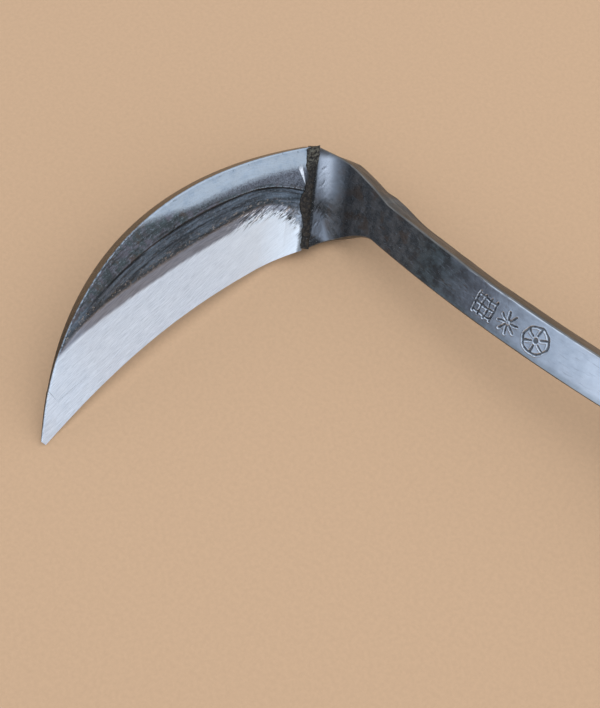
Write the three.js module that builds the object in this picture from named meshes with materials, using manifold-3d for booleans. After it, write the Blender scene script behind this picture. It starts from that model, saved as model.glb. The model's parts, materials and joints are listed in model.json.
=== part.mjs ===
// A crescent weeding sickle, in millimetres with +Z up, lying on a flat surface as it rests by itself:
// on the blade's tip, on the heel of the neck and on the rim of the handle's butt.
//
// A forged flat bar bends down from the handle, widens into a fan and folds about 76 degrees. The
// crescent blade is welded to the fan's edge. The blade is a soft iron body with a thin plate of hard
// steel along the cutting edge, ground to one bevel on its face and left flat on its back.
import * as THREE from 'three';
import { mergeVertices } from 'three/addons/utils/BufferGeometryUtils.js';
import Module from 'manifold-3d';

const wasm = await Module();
wasm.setup();

const { degToRad, lerp, smoothstep, clamp } = THREE.MathUtils;
const GAP = 0.3; // left between pieces that touch

// Weld seam: it crosses the blade at this angle from the chord, through this point. The blade stops
// short of the seam line and the neck starts a little before it; the weld fills the room between.
const SEAM_ANGLE = degToRad(56.4);
const SEAM_FOOT = new THREE.Vector2(99.3, 2.6);
const SEAM_LENGTH = 31.9;
const BLADE_END = -5.2;
const NECK_START = -3.6;
const WELD_CROWN = { front: 0.4, back: 0.2 };
const WELD_START = { front: 1.8, back: 3 }; // along the seam; the back run clears the fan's thin edge
const WELD_ROOT = -2.6; // depth at which the two runs meet

// Blade outline in the plane of its flat back: x along the chord from the tip, y towards the spine.
const EDGE_LINE = bezier([-0.8, -1.9], [34.2, 8.1], [60.5, 10.3], seamPlace(BLADE_END, 0.7));
const SPINE_LINE = bezier([-1.5, -0.3], [25.7, 42.4], [65.1, 49.6], seamPlace(BLADE_END, SEAM_LENGTH));
const TIP_THICKNESS = 1.2;
const FULL_THICKNESS_AT = 0.42; // how far along the blade the spine reaches its full thickness
const HOLLOW_THICKNESS = 3.2; // where the bevel meets the face
const HOLLOW_SHARE = 0.45; // share of the width, from the edge, that stays at that thickness
const FACE_CURVE = 1.5; // how late the face then rises to the spine
const HEEL_LEVEL_START = 0.93; // where the face begins to level out for the weld
const HEEL_STEP = 0.3; // how far below the neck's front the heel lies
const EDGE_LAND = 0.15; // thickness left on the cutting edge
const BEVEL_SLOPE = 0.21; // rise of the bevel per millimetre of width
const RUN_OUT_START = 0.86; // where the bevel begins to rise into the heel
const RUN_OUT_HEIGHT = 4.2; // how far it has risen at the weld
const STEEL_THICKNESS = 1.1;
const STEEL_WIDTH = 12;
const LEAST_IRON = 2.5; // width of iron left above the steel plate near the tip
const SPINE_CHAMFER = { face: 0.5, back: 0.4 };
const ALL_STEEL_LENGTH = 0.1; // the first tenth of the blade, at the tip, is steel throughout
const BLADE_STEPS = 36;

// Neck and bar. The fold's axis is parallel to the seam. Its radius is on the inside, the front.
const BAR_WIDTH = 12.4;
const BAR_THICKNESS = 5.2;
const FOLD_ANGLE = degToRad(76.5);
const FOLD_RADIUS = 6;
const BAR_SLANT = degToRad(27.1); // between the bar's width and the fold's axis
const CROTCH = new THREE.Vector2(19.2, 6.0); // where fan meets bar: across the fold, then along it
const CROTCH_CONTROL = new THREE.Vector2(11.5, 8.0);
const BAR_CURVE_RADIUS = 229;
const BAR_CURVE_LENGTH = 96;
const BAR_CHAMFER = 0.5;
const FAN_FOOT = 1.4; // where the fan's outlines leave the weld, along the seam
const FAN_TOP = 32.3;
const FAN_TOP_CONTROL = new THREE.Vector2(7.0, 30.2);
const FAN_EDGE_THICKNESS = 2.2; // the fan's lower edge is forged thin
const NECK_FLARE = 1.3; // how far the neck's upper side leans out towards its back
const FLARE_START = 18.9; // where that begins, across the fold
const FLARE_LENGTH = 14; // and how far along the bar it runs out
const FAN_EDGE_TAPER = 6;

// Handle end, measured from the ferrule's mouth.
const FERRULE_MOUTH = 114; // along the bar from the crotch
const SHOULDER_LENGTH = 7;
const TANG_START = -1.5; // just outside the ferrule
const TANG_LENGTH = 70;
const TANG_ROOT = { width: 8.4, thickness: 4.2 };
const TANG_TIP = { width: 4.0, thickness: 2.4 };
const FERRULE_LENGTH = 25;
const FERRULE_WALL = 1;
const FERRULE_RADIUS = { mouth: 10.6, rear: 12.0 };
const HANDLE_LENGTH = 142;
const WOOD_START = 1.2; // the wood ends this far inside the ferrule's mouth
const HANDLE_RADIUS = { front: 12.2, belly: 13.6, waist: 13.0, butt: 14.2 };
const BUTT_ROUNDING = 2.4;
const WEDGE = { length: 28, mouth: 1.8, end: 0.6, width: 7.0 };
const PIN_RADIUS = 1.5;
const PIN_AT = 14;
const PIN_HEAD = { radius: 2.6, height: 0.9 };

// A place in the blade's plane, from its distances across and along the seam line.
function seamPlace(across, along) {
  const [sin, cos] = [Math.sin(SEAM_ANGLE), Math.cos(SEAM_ANGLE)];
  return [SEAM_FOOT.x + across * sin + along * cos, SEAM_FOOT.y - across * cos + along * sin];
}

function bezier(...points) {
  return new THREE.CubicBezierCurve(...points.map(([x, y]) => new THREE.Vector2(x, y)));
}

// ---------------------------------------------------------------- closed solids

// Joins rings of points, each a closed loop, into a solid. outlines[0] and outlines[1] are the first
// and the last ring seen flat, and give the triangles of the two end caps.
function loft(rings, outlines) {
  const count = rings[0].length;
  const positions = rings.flat().flatMap((p) => p.toArray());
  const triangles = [];
  for (let ring = 0; ring + 1 < rings.length; ring += 1) {
    for (let i = 0; i < count; i += 1) {
      const a = ring * count + i;
      const b = ring * count + ((i + 1) % count);
      triangles.push(a, b, b + count, a, b + count, a + count);
    }
  }
  const last = (rings.length - 1) * count;
  for (const [a, b, c] of capTriangles(outlines[0])) triangles.push(a, c, b);
  for (const [a, b, c] of capTriangles(outlines[1])) triangles.push(last + a, last + b, last + c);
  const geometry = new THREE.BufferGeometry();
  geometry.setAttribute('position', new THREE.Float32BufferAttribute(positions, 3));
  geometry.setIndex(triangles);
  return facingOut(geometry);
}

// Triangles over an outline, turning the way the outline turns.
function capTriangles(outline) {
  const points = outline.map(([x, y]) => new THREE.Vector2(x, y));
  const turns = THREE.ShapeUtils.isClockWise(points);
  const faces = THREE.ShapeUtils.triangulateShape(points, []);
  return faces.map(([a, b, c]) => {
    const area = new THREE.Vector2().subVectors(points[b], points[a])
      .cross(new THREE.Vector2().subVectors(points[c], points[a]));
    return area < 0 === turns ? [a, b, c] : [a, c, b];
  });
}

// Turns every triangle over when the solid's volume comes out negative.
function facingOut(geometry) {
  const position = geometry.getAttribute('position');
  const index = geometry.getIndex().array;
  const [a, b, c] = [new THREE.Vector3(), new THREE.Vector3(), new THREE.Vector3()];
  let volume = 0;
  for (let i = 0; i < index.length; i += 3) {
    a.fromBufferAttribute(position, index[i]);
    b.fromBufferAttribute(position, index[i + 1]);
    c.fromBufferAttribute(position, index[i + 2]);
    volume += a.dot(b.cross(c));
  }
  if (volume < 0) {
    for (let i = 0; i < index.length; i += 3) {
      [index[i + 1], index[i + 2]] = [index[i + 2], index[i + 1]];
    }
  }
  return geometry;
}

function toManifold(geometry) {
  const bare = geometry.clone();
  bare.deleteAttribute('normal');
  bare.deleteAttribute('uv');
  const merged = mergeVertices(bare, 1e-4);
  return new wasm.Manifold(new wasm.Mesh({
    numProp: 3,
    vertProperties: new Float32Array(merged.getAttribute('position').array),
    triVerts: new Uint32Array(merged.getIndex().array),
  }));
}

function fromManifold(solid) {
  const mesh = solid.getMesh();
  const geometry = new THREE.BufferGeometry();
  geometry.setAttribute('position', new THREE.Float32BufferAttribute(mesh.vertProperties, 3));
  geometry.setIndex(Array.from(mesh.triVerts));
  return geometry;
}

// The first geometry with all the others cut out of it.
function cut(geometry, ...tools) {
  const solid = tools.reduce((rest, tool) => rest.subtract(toManifold(tool)), toManifold(geometry));
  return fromManifold(solid);
}

// A solid of revolution about +X. The profile's points are [distance along X, radius].
function turned(profile, segments = 40) {
  const points = profile.map(([x, r]) => new THREE.Vector2(r, x));
  const geometry = new THREE.LatheGeometry(points, segments);
  geometry.rotateZ(-Math.PI / 2);
  geometry.deleteAttribute('normal');
  geometry.deleteAttribute('uv');
  return facingOut(mergeVertices(geometry, 1e-4));
}

// ---------------------------------------------------------------- blade

function ruling(t) {
  const edge = EDGE_LINE.getPoint(t);
  const spine = SPINE_LINE.getPoint(t);
  return { edge, spine, length: edge.distanceTo(spine) };
}

// How high the bevel has risen out of the cutting edge as it runs out towards the heel.
function edgeHeight(t) {
  const out = Math.max(0, t - RUN_OUT_START) / (1 - RUN_OUT_START);
  return EDGE_LAND + RUN_OUT_HEIGHT * out ** 2;
}

function spineThickness(t) {
  return lerp(TIP_THICKNESS, BAR_THICKNESS, smoothstep(t, 0, FULL_THICKNESS_AT));
}

// Thickness of the blade at a distance from the edge along a ruling: the lower of bevel and face.
function bladeHeight(t, distance) {
  const { length } = ruling(t);
  const bevel = edgeHeight(t) + BEVEL_SLOPE * distance;
  const rise = clamp((distance / length - HOLLOW_SHARE) / (1 - HOLLOW_SHARE), 0, 1);
  const face = lerp(HOLLOW_THICKNESS, spineThickness(t), rise ** FACE_CURVE);
  const levelling = smoothstep(t, HEEL_LEVEL_START, 1) * (1 - rise);
  const level = lerp(face, BAR_THICKNESS - HEEL_STEP, levelling);
  return Math.min(bevel, Math.max(level, edgeHeight(t)), spineThickness(t));
}

// Rings for a blade piece. Its section at t is a list of [distance from the edge, height].
function bladeLoft(steps, section) {
  const sections = steps.map(section);
  const rings = steps.map((t, i) => {
    const { edge, spine, length } = ruling(t);
    return sections[i].map(([distance, height]) => {
      const p = edge.clone().lerp(spine, distance / length);
      return new THREE.Vector3(p.x, p.y, height);
    });
  });
  return loft(rings, [sections[0], sections.at(-1)]);
}

// Even steps from one place along the blade to its end.
function stepsFrom(start, end = 1) {
  const count = Math.ceil((end - start) * BLADE_STEPS);
  return Array.from({ length: count + 1 }, (_, i) => lerp(start, end, i / count));
}

function steelWidth(t) {
  return Math.min(STEEL_WIDTH, ruling(t).length - LEAST_IRON);
}

function steelSection(t) {
  const { length } = ruling(t);
  const solidTip = t <= ALL_STEEL_LENGTH;
  const width = solidTip ? length : steelWidth(t);
  const top = solidTip ? BAR_THICKNESS : STEEL_THICKNESS;
  const bend = solidTip ? length / 2 : clamp((top - edgeHeight(t)) / BEVEL_SLOPE, 0.4, width - 0.6);
  const height = (distance) => Math.min(top, bladeHeight(t, distance));
  return [[0, 0], [0, height(0)], [bend, height(bend)], [width, height(width)], [width, 0]];
}

function edgeSteel() {
  const steps = [...stepsFrom(0, ALL_STEEL_LENGTH), ...stepsFrom(ALL_STEEL_LENGTH + 0.004)];
  return bladeLoft(steps, steelSection);
}

function ironSection(t) {
  const { length } = ruling(t);
  const floor = STEEL_THICKNESS + GAP;
  const inner = steelWidth(t) + GAP;
  const start = Math.max(0, (floor - edgeHeight(t)) / BEVEL_SLOPE);
  const ridge = clamp((HOLLOW_THICKNESS - edgeHeight(t)) / BEVEL_SLOPE, start + 0.7, length - 2.6);
  const { face, back } = SPINE_CHAMFER;
  const spine = bladeHeight(t, length);
  const at = (distance) => [distance, bladeHeight(t, distance)];
  const along = (fraction) => at(lerp(ridge, length - face, fraction));
  return [
    [start, floor], at(start + 0.2), at(ridge), along(0.35), along(0.65), along(1),
    [length, spine - face], [length, back], [length - back, 0], [inner, 0], [inner, floor],
  ];
}

function bladeIron() {
  return bladeLoft(stepsFrom(ALL_STEEL_LENGTH + 0.009), ironSection);
}

// ---------------------------------------------------------------- neck, bar and tang

// The forging is drawn flat and then bent. Flat coordinates: along the bar from the crotch, across it
// from its lower edge, and out of the front face, which is at 0. The same place measured from the
// fold is (across, along): across the fold from the seam line, and along its axis.
const slant = { cos: Math.cos(BAR_SLANT), sin: Math.sin(BAR_SLANT) };

function flatPlace(across, along) {
  const a = across - CROTCH.x;
  const b = along - CROTCH.y;
  return [a * slant.cos - b * slant.sin, a * slant.sin + b * slant.cos];
}

function foldPlace(along, width) {
  return [
    CROTCH.x + along * slant.cos + width * slant.sin,
    CROTCH.y - along * slant.sin + width * slant.cos,
  ];
}

const FOLD_ARC = FOLD_RADIUS * FOLD_ANGLE;
const acrossFold = new THREE.Vector3(slant.cos, slant.sin, 0);
const alongFold = new THREE.Vector3(-slant.sin, slant.cos, 0);
const front = new THREE.Vector3(0, 0, 1);

// Bends a flat point into place.
function bent(along, width, depth) {
  if (along > 0) return curved(along, width, depth);
  const [across, lengthwise] = foldPlace(along, width);
  const past = FOLD_ARC - across;
  if (past <= 0) return new THREE.Vector3(along, width, depth);
  const angle = Math.min(past / FOLD_RADIUS, FOLD_ANGLE);
  const straight = past - angle * FOLD_RADIUS;
  const radius = FOLD_RADIUS - depth;
  const back = radius * Math.sin(angle) + straight * Math.cos(angle);
  const up = FOLD_RADIUS - radius * Math.cos(angle) + straight * Math.sin(angle);
  const [x, y] = flatPlace(FOLD_ARC, lengthwise);
  return new THREE.Vector3(x, y, 0).addScaledVector(acrossFold, -back).addScaledVector(front, up);
}

// The bar's gentle flatwise curve, away from its front face, and its straight end.
function curved(along, width, depth) {
  const onCurve = Math.min(along, BAR_CURVE_LENGTH);
  const angle = onCurve / BAR_CURVE_RADIUS;
  const radius = BAR_CURVE_RADIUS + depth;
  const rest = along - onCurve;
  return new THREE.Vector3(
    radius * Math.sin(angle) + rest * Math.cos(angle),
    width,
    radius * Math.cos(angle) - BAR_CURVE_RADIUS - rest * Math.sin(angle),
  );
}

// One section of the forging, as [distance across, depth]: a chamfered bar whose lower back corner
// is cut away by taper, down to edge, and whose upper side leans out by flare towards its back.
function barSection(width, thickness, taper, edge, flare) {
  const c = BAR_CHAMFER;
  return [
    [c, 0], [0, -c], [0, -edge], [taper, -thickness],
    [width + flare - c, -thickness], [width + flare, c - thickness], [width, -c], [width - c, 0],
  ];
}

function neckStations() {
  const stations = [];
  const crotchTop = new THREE.Vector2(...foldPlace(0, BAR_WIDTH));
  const foot = new THREE.Vector2(NECK_START, FAN_FOOT);
  const top = new THREE.Vector2(NECK_START, FAN_TOP);
  const lower = new THREE.QuadraticBezierCurve(foot, CROTCH_CONTROL, CROTCH);
  const upper = new THREE.QuadraticBezierCurve(top, FAN_TOP_CONTROL, crotchTop);
  // Through the fold the stations are parallel to its axis; past it they turn square to the bar.
  const foldStations = 10;
  const onLine = (curve, across) => {
    let [low, high] = [0, 1];
    for (let i = 0; i < 30; i += 1) {
      const middle = (low + high) / 2;
      if (curve.getPoint(middle).x < across) low = middle;
      else high = middle;
    }
    return low;
  };
  const lowEnd = onLine(lower, FOLD_ARC);
  const highEnd = onLine(upper, FOLD_ARC);
  for (let i = 0; i <= foldStations; i += 1) {
    const across = lerp(NECK_START, FOLD_ARC, i / foldStations);
    stations.push([lower.getPoint(onLine(lower, across)), upper.getPoint(onLine(upper, across))]);
  }
  const turnStations = 7;
  for (let i = 1; i < turnStations; i += 1) {
    const share = i / turnStations;
    stations.push([lower.getPoint(lerp(lowEnd, 1, share)), upper.getPoint(lerp(highEnd, 1, share))]);
  }
  return stations.map(([low, high], i) => {
    const share = i / (stations.length - 1);
    const taper = lerp(FAN_EDGE_TAPER, BAR_CHAMFER, share);
    const edge = lerp(FAN_EDGE_THICKNESS, BAR_THICKNESS - BAR_CHAMFER, share);
    const width = low.distanceTo(high);
    const flare = NECK_FLARE * smoothstep(high.x, FLARE_START, crotchTop.x);
    const outline = barSection(width, BAR_THICKNESS, taper, edge, flare);
    const ring = outline.map(([w, depth]) => {
      const p = low.clone().lerp(high, w / width);
      return bent(...flatPlace(p.x, p.y), depth);
    });
    return { outline, ring };
  });
}

function barStation(along, width, thickness) {
  const flare = NECK_FLARE * (1 - smoothstep(along, 0, FLARE_LENGTH));
  const outline = barSection(width, thickness, BAR_CHAMFER, thickness - BAR_CHAMFER, flare);
  const side = (BAR_WIDTH - width) / 2;
  const sink = (BAR_THICKNESS - thickness) / 2;
  const ring = outline.map(([w, depth]) => bent(Math.max(along, 1e-6), w + side, depth - sink));
  return { outline, ring };
}

function tangSize(x) {
  const share = x / TANG_LENGTH;
  return {
    width: lerp(TANG_ROOT.width, TANG_TIP.width, share),
    thickness: lerp(TANG_ROOT.thickness, TANG_TIP.thickness, share),
  };
}

function forging() {
  const stations = neckStations();
  const shoulder = FERRULE_MOUTH - SHOULDER_LENGTH;
  const barSteps = 26;
  for (let i = 0; i <= barSteps; i += 1) {
    stations.push(barStation((shoulder * i) / barSteps, BAR_WIDTH, BAR_THICKNESS));
  }
  const tangSteps = 5;
  for (let i = 0; i <= tangSteps; i += 1) {
    const x = (TANG_LENGTH * i) / tangSteps;
    const { width, thickness } = tangSize(x);
    stations.push(barStation(FERRULE_MOUTH + TANG_START + x, width, thickness));
  }
  const ends = [stations[0].outline, stations.at(-1).outline];
  const whole = loft(stations.map((station) => station.ring), ends);
  return cut(whole, pinHole().applyMatrix4(gripFrame()));
}

// ---------------------------------------------------------------- weld

// A run of weld metal along the seam, from its root to its face, with a rounded crown on the face.
function weldRun(root, face, crown, start) {
  const half = (NECK_START - BLADE_END) / 2 - GAP;
  const shoulder = half * 0.45;
  const middle = (NECK_START + BLADE_END) / 2;
  const top = face + Math.sign(face - root) * crown;
  const outline = [
    [-half, root], [half, root], [half, face], [shoulder, top], [-shoulder, top], [-half, face],
  ];
  const steps = 12;
  const rings = [];
  for (let i = 0; i <= steps; i += 1) {
    const along = lerp(start, SEAM_LENGTH - GAP, i / steps);
    rings.push(outline.map(([across, depth]) => bent(...flatPlace(middle + across, along), depth)));
  }
  return loft(rings, [outline, outline]);
}

function weldFace() {
  return weldRun(WELD_ROOT + GAP / 2, -0.1, WELD_CROWN.front, WELD_START.front);
}

// The run on the back is ground flush.
function weldBack() {
  return weldRun(WELD_ROOT - GAP / 2, GAP - BAR_THICKNESS, WELD_CROWN.back, WELD_START.back);
}

// ---------------------------------------------------------------- frames of the two ends

// The blade's own frame, seen from the forging's: x along the chord, y towards the spine, z out of
// the face, 0 on the flat back.
function bladeFrame() {
  const outward = new THREE.Vector3()
    .addScaledVector(acrossFold, Math.cos(FOLD_ANGLE))
    .addScaledVector(front, -Math.sin(FOLD_ANGLE));
  const x = new THREE.Vector3()
    .addScaledVector(alongFold, Math.cos(SEAM_ANGLE))
    .addScaledVector(outward, Math.sin(SEAM_ANGLE));
  const y = new THREE.Vector3()
    .addScaledVector(alongFold, Math.sin(SEAM_ANGLE))
    .addScaledVector(outward, -Math.cos(SEAM_ANGLE));
  const z = new THREE.Vector3().crossVectors(x, y);
  const origin = bent(...flatPlace(0, 0), -BAR_THICKNESS)
    .addScaledVector(x, -SEAM_FOOT.x)
    .addScaledVector(y, -SEAM_FOOT.y);
  return new THREE.Matrix4().makeBasis(x, y, z).setPosition(origin);
}

// The handle's frame: x along the handle from the ferrule's mouth, z out of the bar's front face.
function gripFrame() {
  const origin = bent(FERRULE_MOUTH, BAR_WIDTH / 2, -BAR_THICKNESS / 2);
  const angle = BAR_CURVE_LENGTH / BAR_CURVE_RADIUS;
  return new THREE.Matrix4().makeRotationY(angle).setPosition(origin);
}

// ---------------------------------------------------------------- handle end

function pinHole() {
  const hole = turned([[-20, 0], [-20, PIN_RADIUS + GAP], [20, PIN_RADIUS + GAP], [20, 0]], 20);
  return hole.rotateY(Math.PI / 2).translate(PIN_AT, 0, 0);
}

// A four-sided tapering solid along x. Each station is [x, half width, lowest z, highest z].
function tapered(stations) {
  const outlines = stations.map(([, half, low, high]) => [
    [-half, low], [half, low], [half, high], [-half, high],
  ]);
  const rings = stations.map(([x], i) => outlines[i].map(([y, z]) => new THREE.Vector3(x, y, z)));
  return loft(rings, [outlines[0], outlines.at(-1)]);
}

function tangSocket() {
  const ends = [TANG_START, TANG_LENGTH + 1];
  return tapered(ends.map((x) => {
    const { width, thickness } = tangSize(clamp(x - TANG_START, 0, TANG_LENGTH));
    return [x, width / 2 + GAP, -thickness / 2 - GAP, thickness / 2 + GAP];
  }));
}

// The wedge lies on the tang's front face. spare widens it on every side to make its seat.
function wedgeSolid(spare) {
  const ends = [[WOOD_START, WEDGE.mouth], [WEDGE.length, WEDGE.end]];
  return tapered(ends.map(([x, height], i) => {
    const bottom = tangSize(x - TANG_START).thickness / 2 + GAP;
    const end = x + (i ? spare : -2 * spare);
    return [end, WEDGE.width / 2 + spare, bottom - spare, bottom + height + spare];
  }));
}

function ferruleRadius(x) {
  return lerp(FERRULE_RADIUS.mouth, FERRULE_RADIUS.rear, x / FERRULE_LENGTH);
}

function handle() {
  const { front: neck, belly, waist, butt } = HANDLE_RADIUS;
  const seat = FERRULE_LENGTH + GAP;
  const inside = (x) => ferruleRadius(x) - FERRULE_WALL - GAP;
  const end = HANDLE_LENGTH;
  const knots = [
    [seat + 2, neck + 0.5],
    [seat + 34, belly - 0.3],
    [seat + 58, belly],
    [end - 34, waist],
    [end - 8, butt],
  ];
  const grip = new THREE.CatmullRomCurve3(knots.map(([x, r]) => new THREE.Vector3(x, r, 0)));
  const corner = Array.from({ length: 5 }, (_, i) => {
    const angle = (Math.PI / 2) * (i / 4);
    return [end - BUTT_ROUNDING * (1 - Math.sin(angle)), butt - BUTT_ROUNDING * (1 - Math.cos(angle))];
  });
  const profile = [
    [WOOD_START, 0], [WOOD_START, inside(WOOD_START) - 0.4], [WOOD_START + 1, inside(WOOD_START + 1)],
    [seat, inside(FERRULE_LENGTH)], [seat, neck],
    ...grip.getPoints(16).map((p) => [p.x, p.y]),
    ...corner, [end, 0],
  ];
  return cut(turned(profile, 48), tangSocket(), wedgeSolid(GAP), pinHole());
}

function ferrule() {
  const { mouth, rear } = FERRULE_RADIUS;
  const rim = 0.3;
  const profile = [
    [0, mouth - FERRULE_WALL], [0, mouth - rim], [rim, mouth], [FERRULE_LENGTH - 3, rear - 0.2],
    [FERRULE_LENGTH - 2.4, rear + 0.3], [FERRULE_LENGTH - 0.4, rear + 0.3], [FERRULE_LENGTH, rear],
    [FERRULE_LENGTH, rear - FERRULE_WALL], [0, mouth - FERRULE_WALL],
  ];
  return cut(turned(profile, 48), pinHole());
}

function pin() {
  const reach = ferruleRadius(PIN_AT) + GAP;
  const { radius, height } = PIN_HEAD;
  const head = (side) => [
    [side * reach, PIN_RADIUS], [side * reach, radius], [side * (reach + height * 0.6), radius * 0.75],
    [side * (reach + height), 0],
  ];
  const profile = [...head(-1).reverse(), ...head(1)];
  return turned(profile, 20).rotateY(Math.PI / 2).translate(PIN_AT, 0, 0);
}

// ---------------------------------------------------------------- assembly

const MATERIALS = {
  forgedIron: { color: 0x3c4246, roughness: 0.42, metalness: 0.85 },
  edgeSteel: { color: 0xb9bec2, roughness: 0.3, metalness: 0.95 },
  weldMetal: { color: 0x2c2a28, roughness: 0.7, metalness: 0.6 },
  forgedBar: { color: 0x50565c, roughness: 0.38, metalness: 0.85 },
  ferruleSteel: { color: 0x8d9296, roughness: 0.35, metalness: 0.9 },
  handleWood: { color: 0xc79f6b, roughness: 0.6, metalness: 0 },
  wedgeWood: { color: 0xa97f4c, roughness: 0.7, metalness: 0 },
};

function piece(name, material, geometry) {
  const mesh = new THREE.Mesh(geometry, new THREE.MeshStandardMaterial(MATERIALS[material]));
  mesh.name = name;
  return mesh;
}

function group(matrix, ...children) {
  const result = new THREE.Group();
  result.applyMatrix4(matrix);
  result.add(...children);
  return result;
}

const blade = bladeFrame();
const grip = gripFrame();

const parts = {
  neck: piece('neck_bar', 'forgedBar', forging()),
  steel: piece('edge_steel', 'edgeSteel', edgeSteel()),
  handle: piece('handle', 'handleWood', handle()),
};

// A piece's vertices in the forging's frame, those that pass a test in the piece's own frame.
function vertices(mesh, matrix, test = () => true) {
  const position = mesh.geometry.getAttribute('position');
  const points = Array.from({ length: position.count }, (_, i) => (
    new THREE.Vector3().fromBufferAttribute(position, i)
  ));
  return points.filter(test).map((p) => p.applyMatrix4(matrix));
}

// The turn that rests the sickle on the blade's tip, the heel and the handle, with the handle
// along +X: the lowest point of each is found, and the three are laid level, until they settle.
function restingTurn() {
  const touching = [
    vertices(parts.steel, blade, (p) => p.x < 20),
    [
      ...vertices(parts.steel, blade, (p) => p.x > 60),
      ...vertices(parts.neck, new THREE.Matrix4(), (p) => p.x < 0),
    ],
    vertices(parts.handle, grip),
  ];
  let up = new THREE.Vector3(0, 0.7, 0.7).normalize();
  for (let i = 0; i < 12; i += 1) {
    const lower = (low, p) => (p.dot(up) < low.dot(up) ? p : low);
    const lowest = touching.map((list) => list.reduce(lower));
    const { normal } = new THREE.Plane().setFromCoplanarPoints(...lowest);
    up = normal.dot(up) < 0 ? normal.clone().negate() : normal.clone();
  }
  const axis = new THREE.Vector3().setFromMatrixColumn(grip, 0);
  const x = axis.addScaledVector(up, -axis.dot(up)).normalize();
  const y = new THREE.Vector3().crossVectors(up, x);
  return new THREE.Matrix4().makeBasis(x, y, up).transpose();
}

const lying = group(
  restingTurn(),
  parts.neck,
  piece('weld_face_run', 'weldMetal', weldFace()),
  piece('weld_back_run', 'weldMetal', weldBack()),
  group(
    blade,
    piece('blade_iron', 'forgedIron', bladeIron()),
    parts.steel,
  ),
  group(
    grip,
    parts.handle,
    piece('ferrule', 'ferruleSteel', ferrule()),
    piece('ferrule_pin', 'ferruleSteel', pin()),
    piece('tang_wedge', 'wedgeWood', cut(wedgeSolid(0), pinHole())),
  ),
);

// The origin is at the middle of the footprint, on the surface.
const sickle = new THREE.Group();
sickle.add(lying);
sickle.updateMatrixWorld(true);
const box = new THREE.Box3().setFromObject(sickle, true);
const middle = box.getCenter(new THREE.Vector3());
sickle.position.set(-middle.x, -middle.y, -box.min.z);

export default sickle;
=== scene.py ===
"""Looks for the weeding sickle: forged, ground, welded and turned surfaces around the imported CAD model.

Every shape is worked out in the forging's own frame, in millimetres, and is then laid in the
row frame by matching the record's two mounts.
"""
import json
import math

import bpy
import numpy as np
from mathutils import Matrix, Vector


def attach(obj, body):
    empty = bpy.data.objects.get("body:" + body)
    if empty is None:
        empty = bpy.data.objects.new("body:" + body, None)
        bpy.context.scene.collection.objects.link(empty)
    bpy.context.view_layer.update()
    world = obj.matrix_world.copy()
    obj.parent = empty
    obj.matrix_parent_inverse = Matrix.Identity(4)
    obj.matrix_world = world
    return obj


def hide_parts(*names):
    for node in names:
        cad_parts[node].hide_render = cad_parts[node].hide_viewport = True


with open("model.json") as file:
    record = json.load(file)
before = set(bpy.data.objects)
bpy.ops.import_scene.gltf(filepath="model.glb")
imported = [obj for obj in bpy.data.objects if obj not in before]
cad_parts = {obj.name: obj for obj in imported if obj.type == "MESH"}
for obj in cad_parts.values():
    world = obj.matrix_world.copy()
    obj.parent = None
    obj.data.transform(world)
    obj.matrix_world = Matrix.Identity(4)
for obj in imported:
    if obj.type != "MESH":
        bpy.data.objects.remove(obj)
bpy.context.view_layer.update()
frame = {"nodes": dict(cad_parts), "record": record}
BODY = "root"
MM = 0.001

# Weld seam, in the blade's plane: its angle from the chord, its lower end and its length. Blade and
# neck end on either side of it, at distances across the seam.
SEAM_ANGLE = math.radians(56.4)
SEAM_FOOT = (99.3, 2.6)
SEAM_LENGTH = 31.9
BLADE_END = -5.2
NECK_START = -3.6

# Blade. Places along it are shares of its length, from the tip.
TIP_THICKNESS = 1.2
FULL_THICKNESS_AT = 0.42
EDGE_LAND = 0.15  # thickness left on the cutting edge
BEVEL_SLOPE = 0.21
RUN_OUT_START = 0.86  # where the edge starts to thicken towards the heel
RUN_OUT_HEIGHT = 4.2
HEEL_LEVEL_START = 0.93  # where the hollow face starts to level out towards the weld
HEEL_STEP = 0.3  # how far the face stays below the neck's there
STEEL_THICKNESS = 1.1
STEEL_WIDTH = 12
LEAST_IRON = 2.5  # width of iron left behind the steel near the tip
ALL_STEEL_LENGTH = 0.1
HAIRLINE = 0.02
SPINE_FALL = 0.5  # how far the face falls towards the spine, next to the weld
RIDGE_STEP = 0.16

# Neck and bar. The fan's outlines are curves, in coordinates across and along the fold's axis.
BAR_WIDTH = 12.4
BAR_THICKNESS = 5.2
BAR_CHAMFER = 0.5
FOLD_ANGLE = math.radians(76.5)
FOLD_RADIUS = 6
FOLD_ARC = FOLD_RADIUS * FOLD_ANGLE
BAR_SLANT = math.radians(27.1)
CROTCH = (19.2, 6.0)
CROTCH_CONTROL = (11.5, 8.0)
FAN_FOOT = 1.4
FAN_TOP = 32.3
FAN_TOP_CONTROL = (7.0, 30.2)
FAN_EDGE_THICKNESS = 2.2
FAN_EDGE_TAPER = 6
NECK_FLARE = 1.3  # how far the neck's upper side leans out towards its back
FLARE_START = 18.9  # where that begins, across the fold
FLARE_LENGTH = 14.0  # and how far along the bar it runs out
BAR_CURVE_RADIUS = 229
BAR_CURVE_LENGTH = 96
SHOULDER_LENGTH = 7

# Handle end. Pairs are the value at the front and the value at the rear; a tang's end is (width,
# thickness), and the pin's head is (radius, height).
FERRULE_MOUTH = 114
TANG_START = -1.5
TANG_LENGTH = 70
TANG_ROOT = (8.4, 4.2)
TANG_TIP = (4.0, 2.4)
FERRULE_LENGTH = 25
FERRULE_WALL = 1
FERRULE_RADIUS = (10.6, 12.0)
HANDLE_LENGTH = 142
WOOD_START = 1.2
BUTT_ROUNDING = 2.4
WEDGE_LENGTH = 28
WEDGE_HEIGHTS = (1.8, 0.6)
WEDGE_WIDTH = 7
PIN_RADIUS = 1.5
PIN_AT = 14
PIN_HEAD = (2.6, 0.9)


# ---------------------------------------------------------------- numbers and noise

def lerp(a, b, share):
    return a + (b - a) * share


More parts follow.
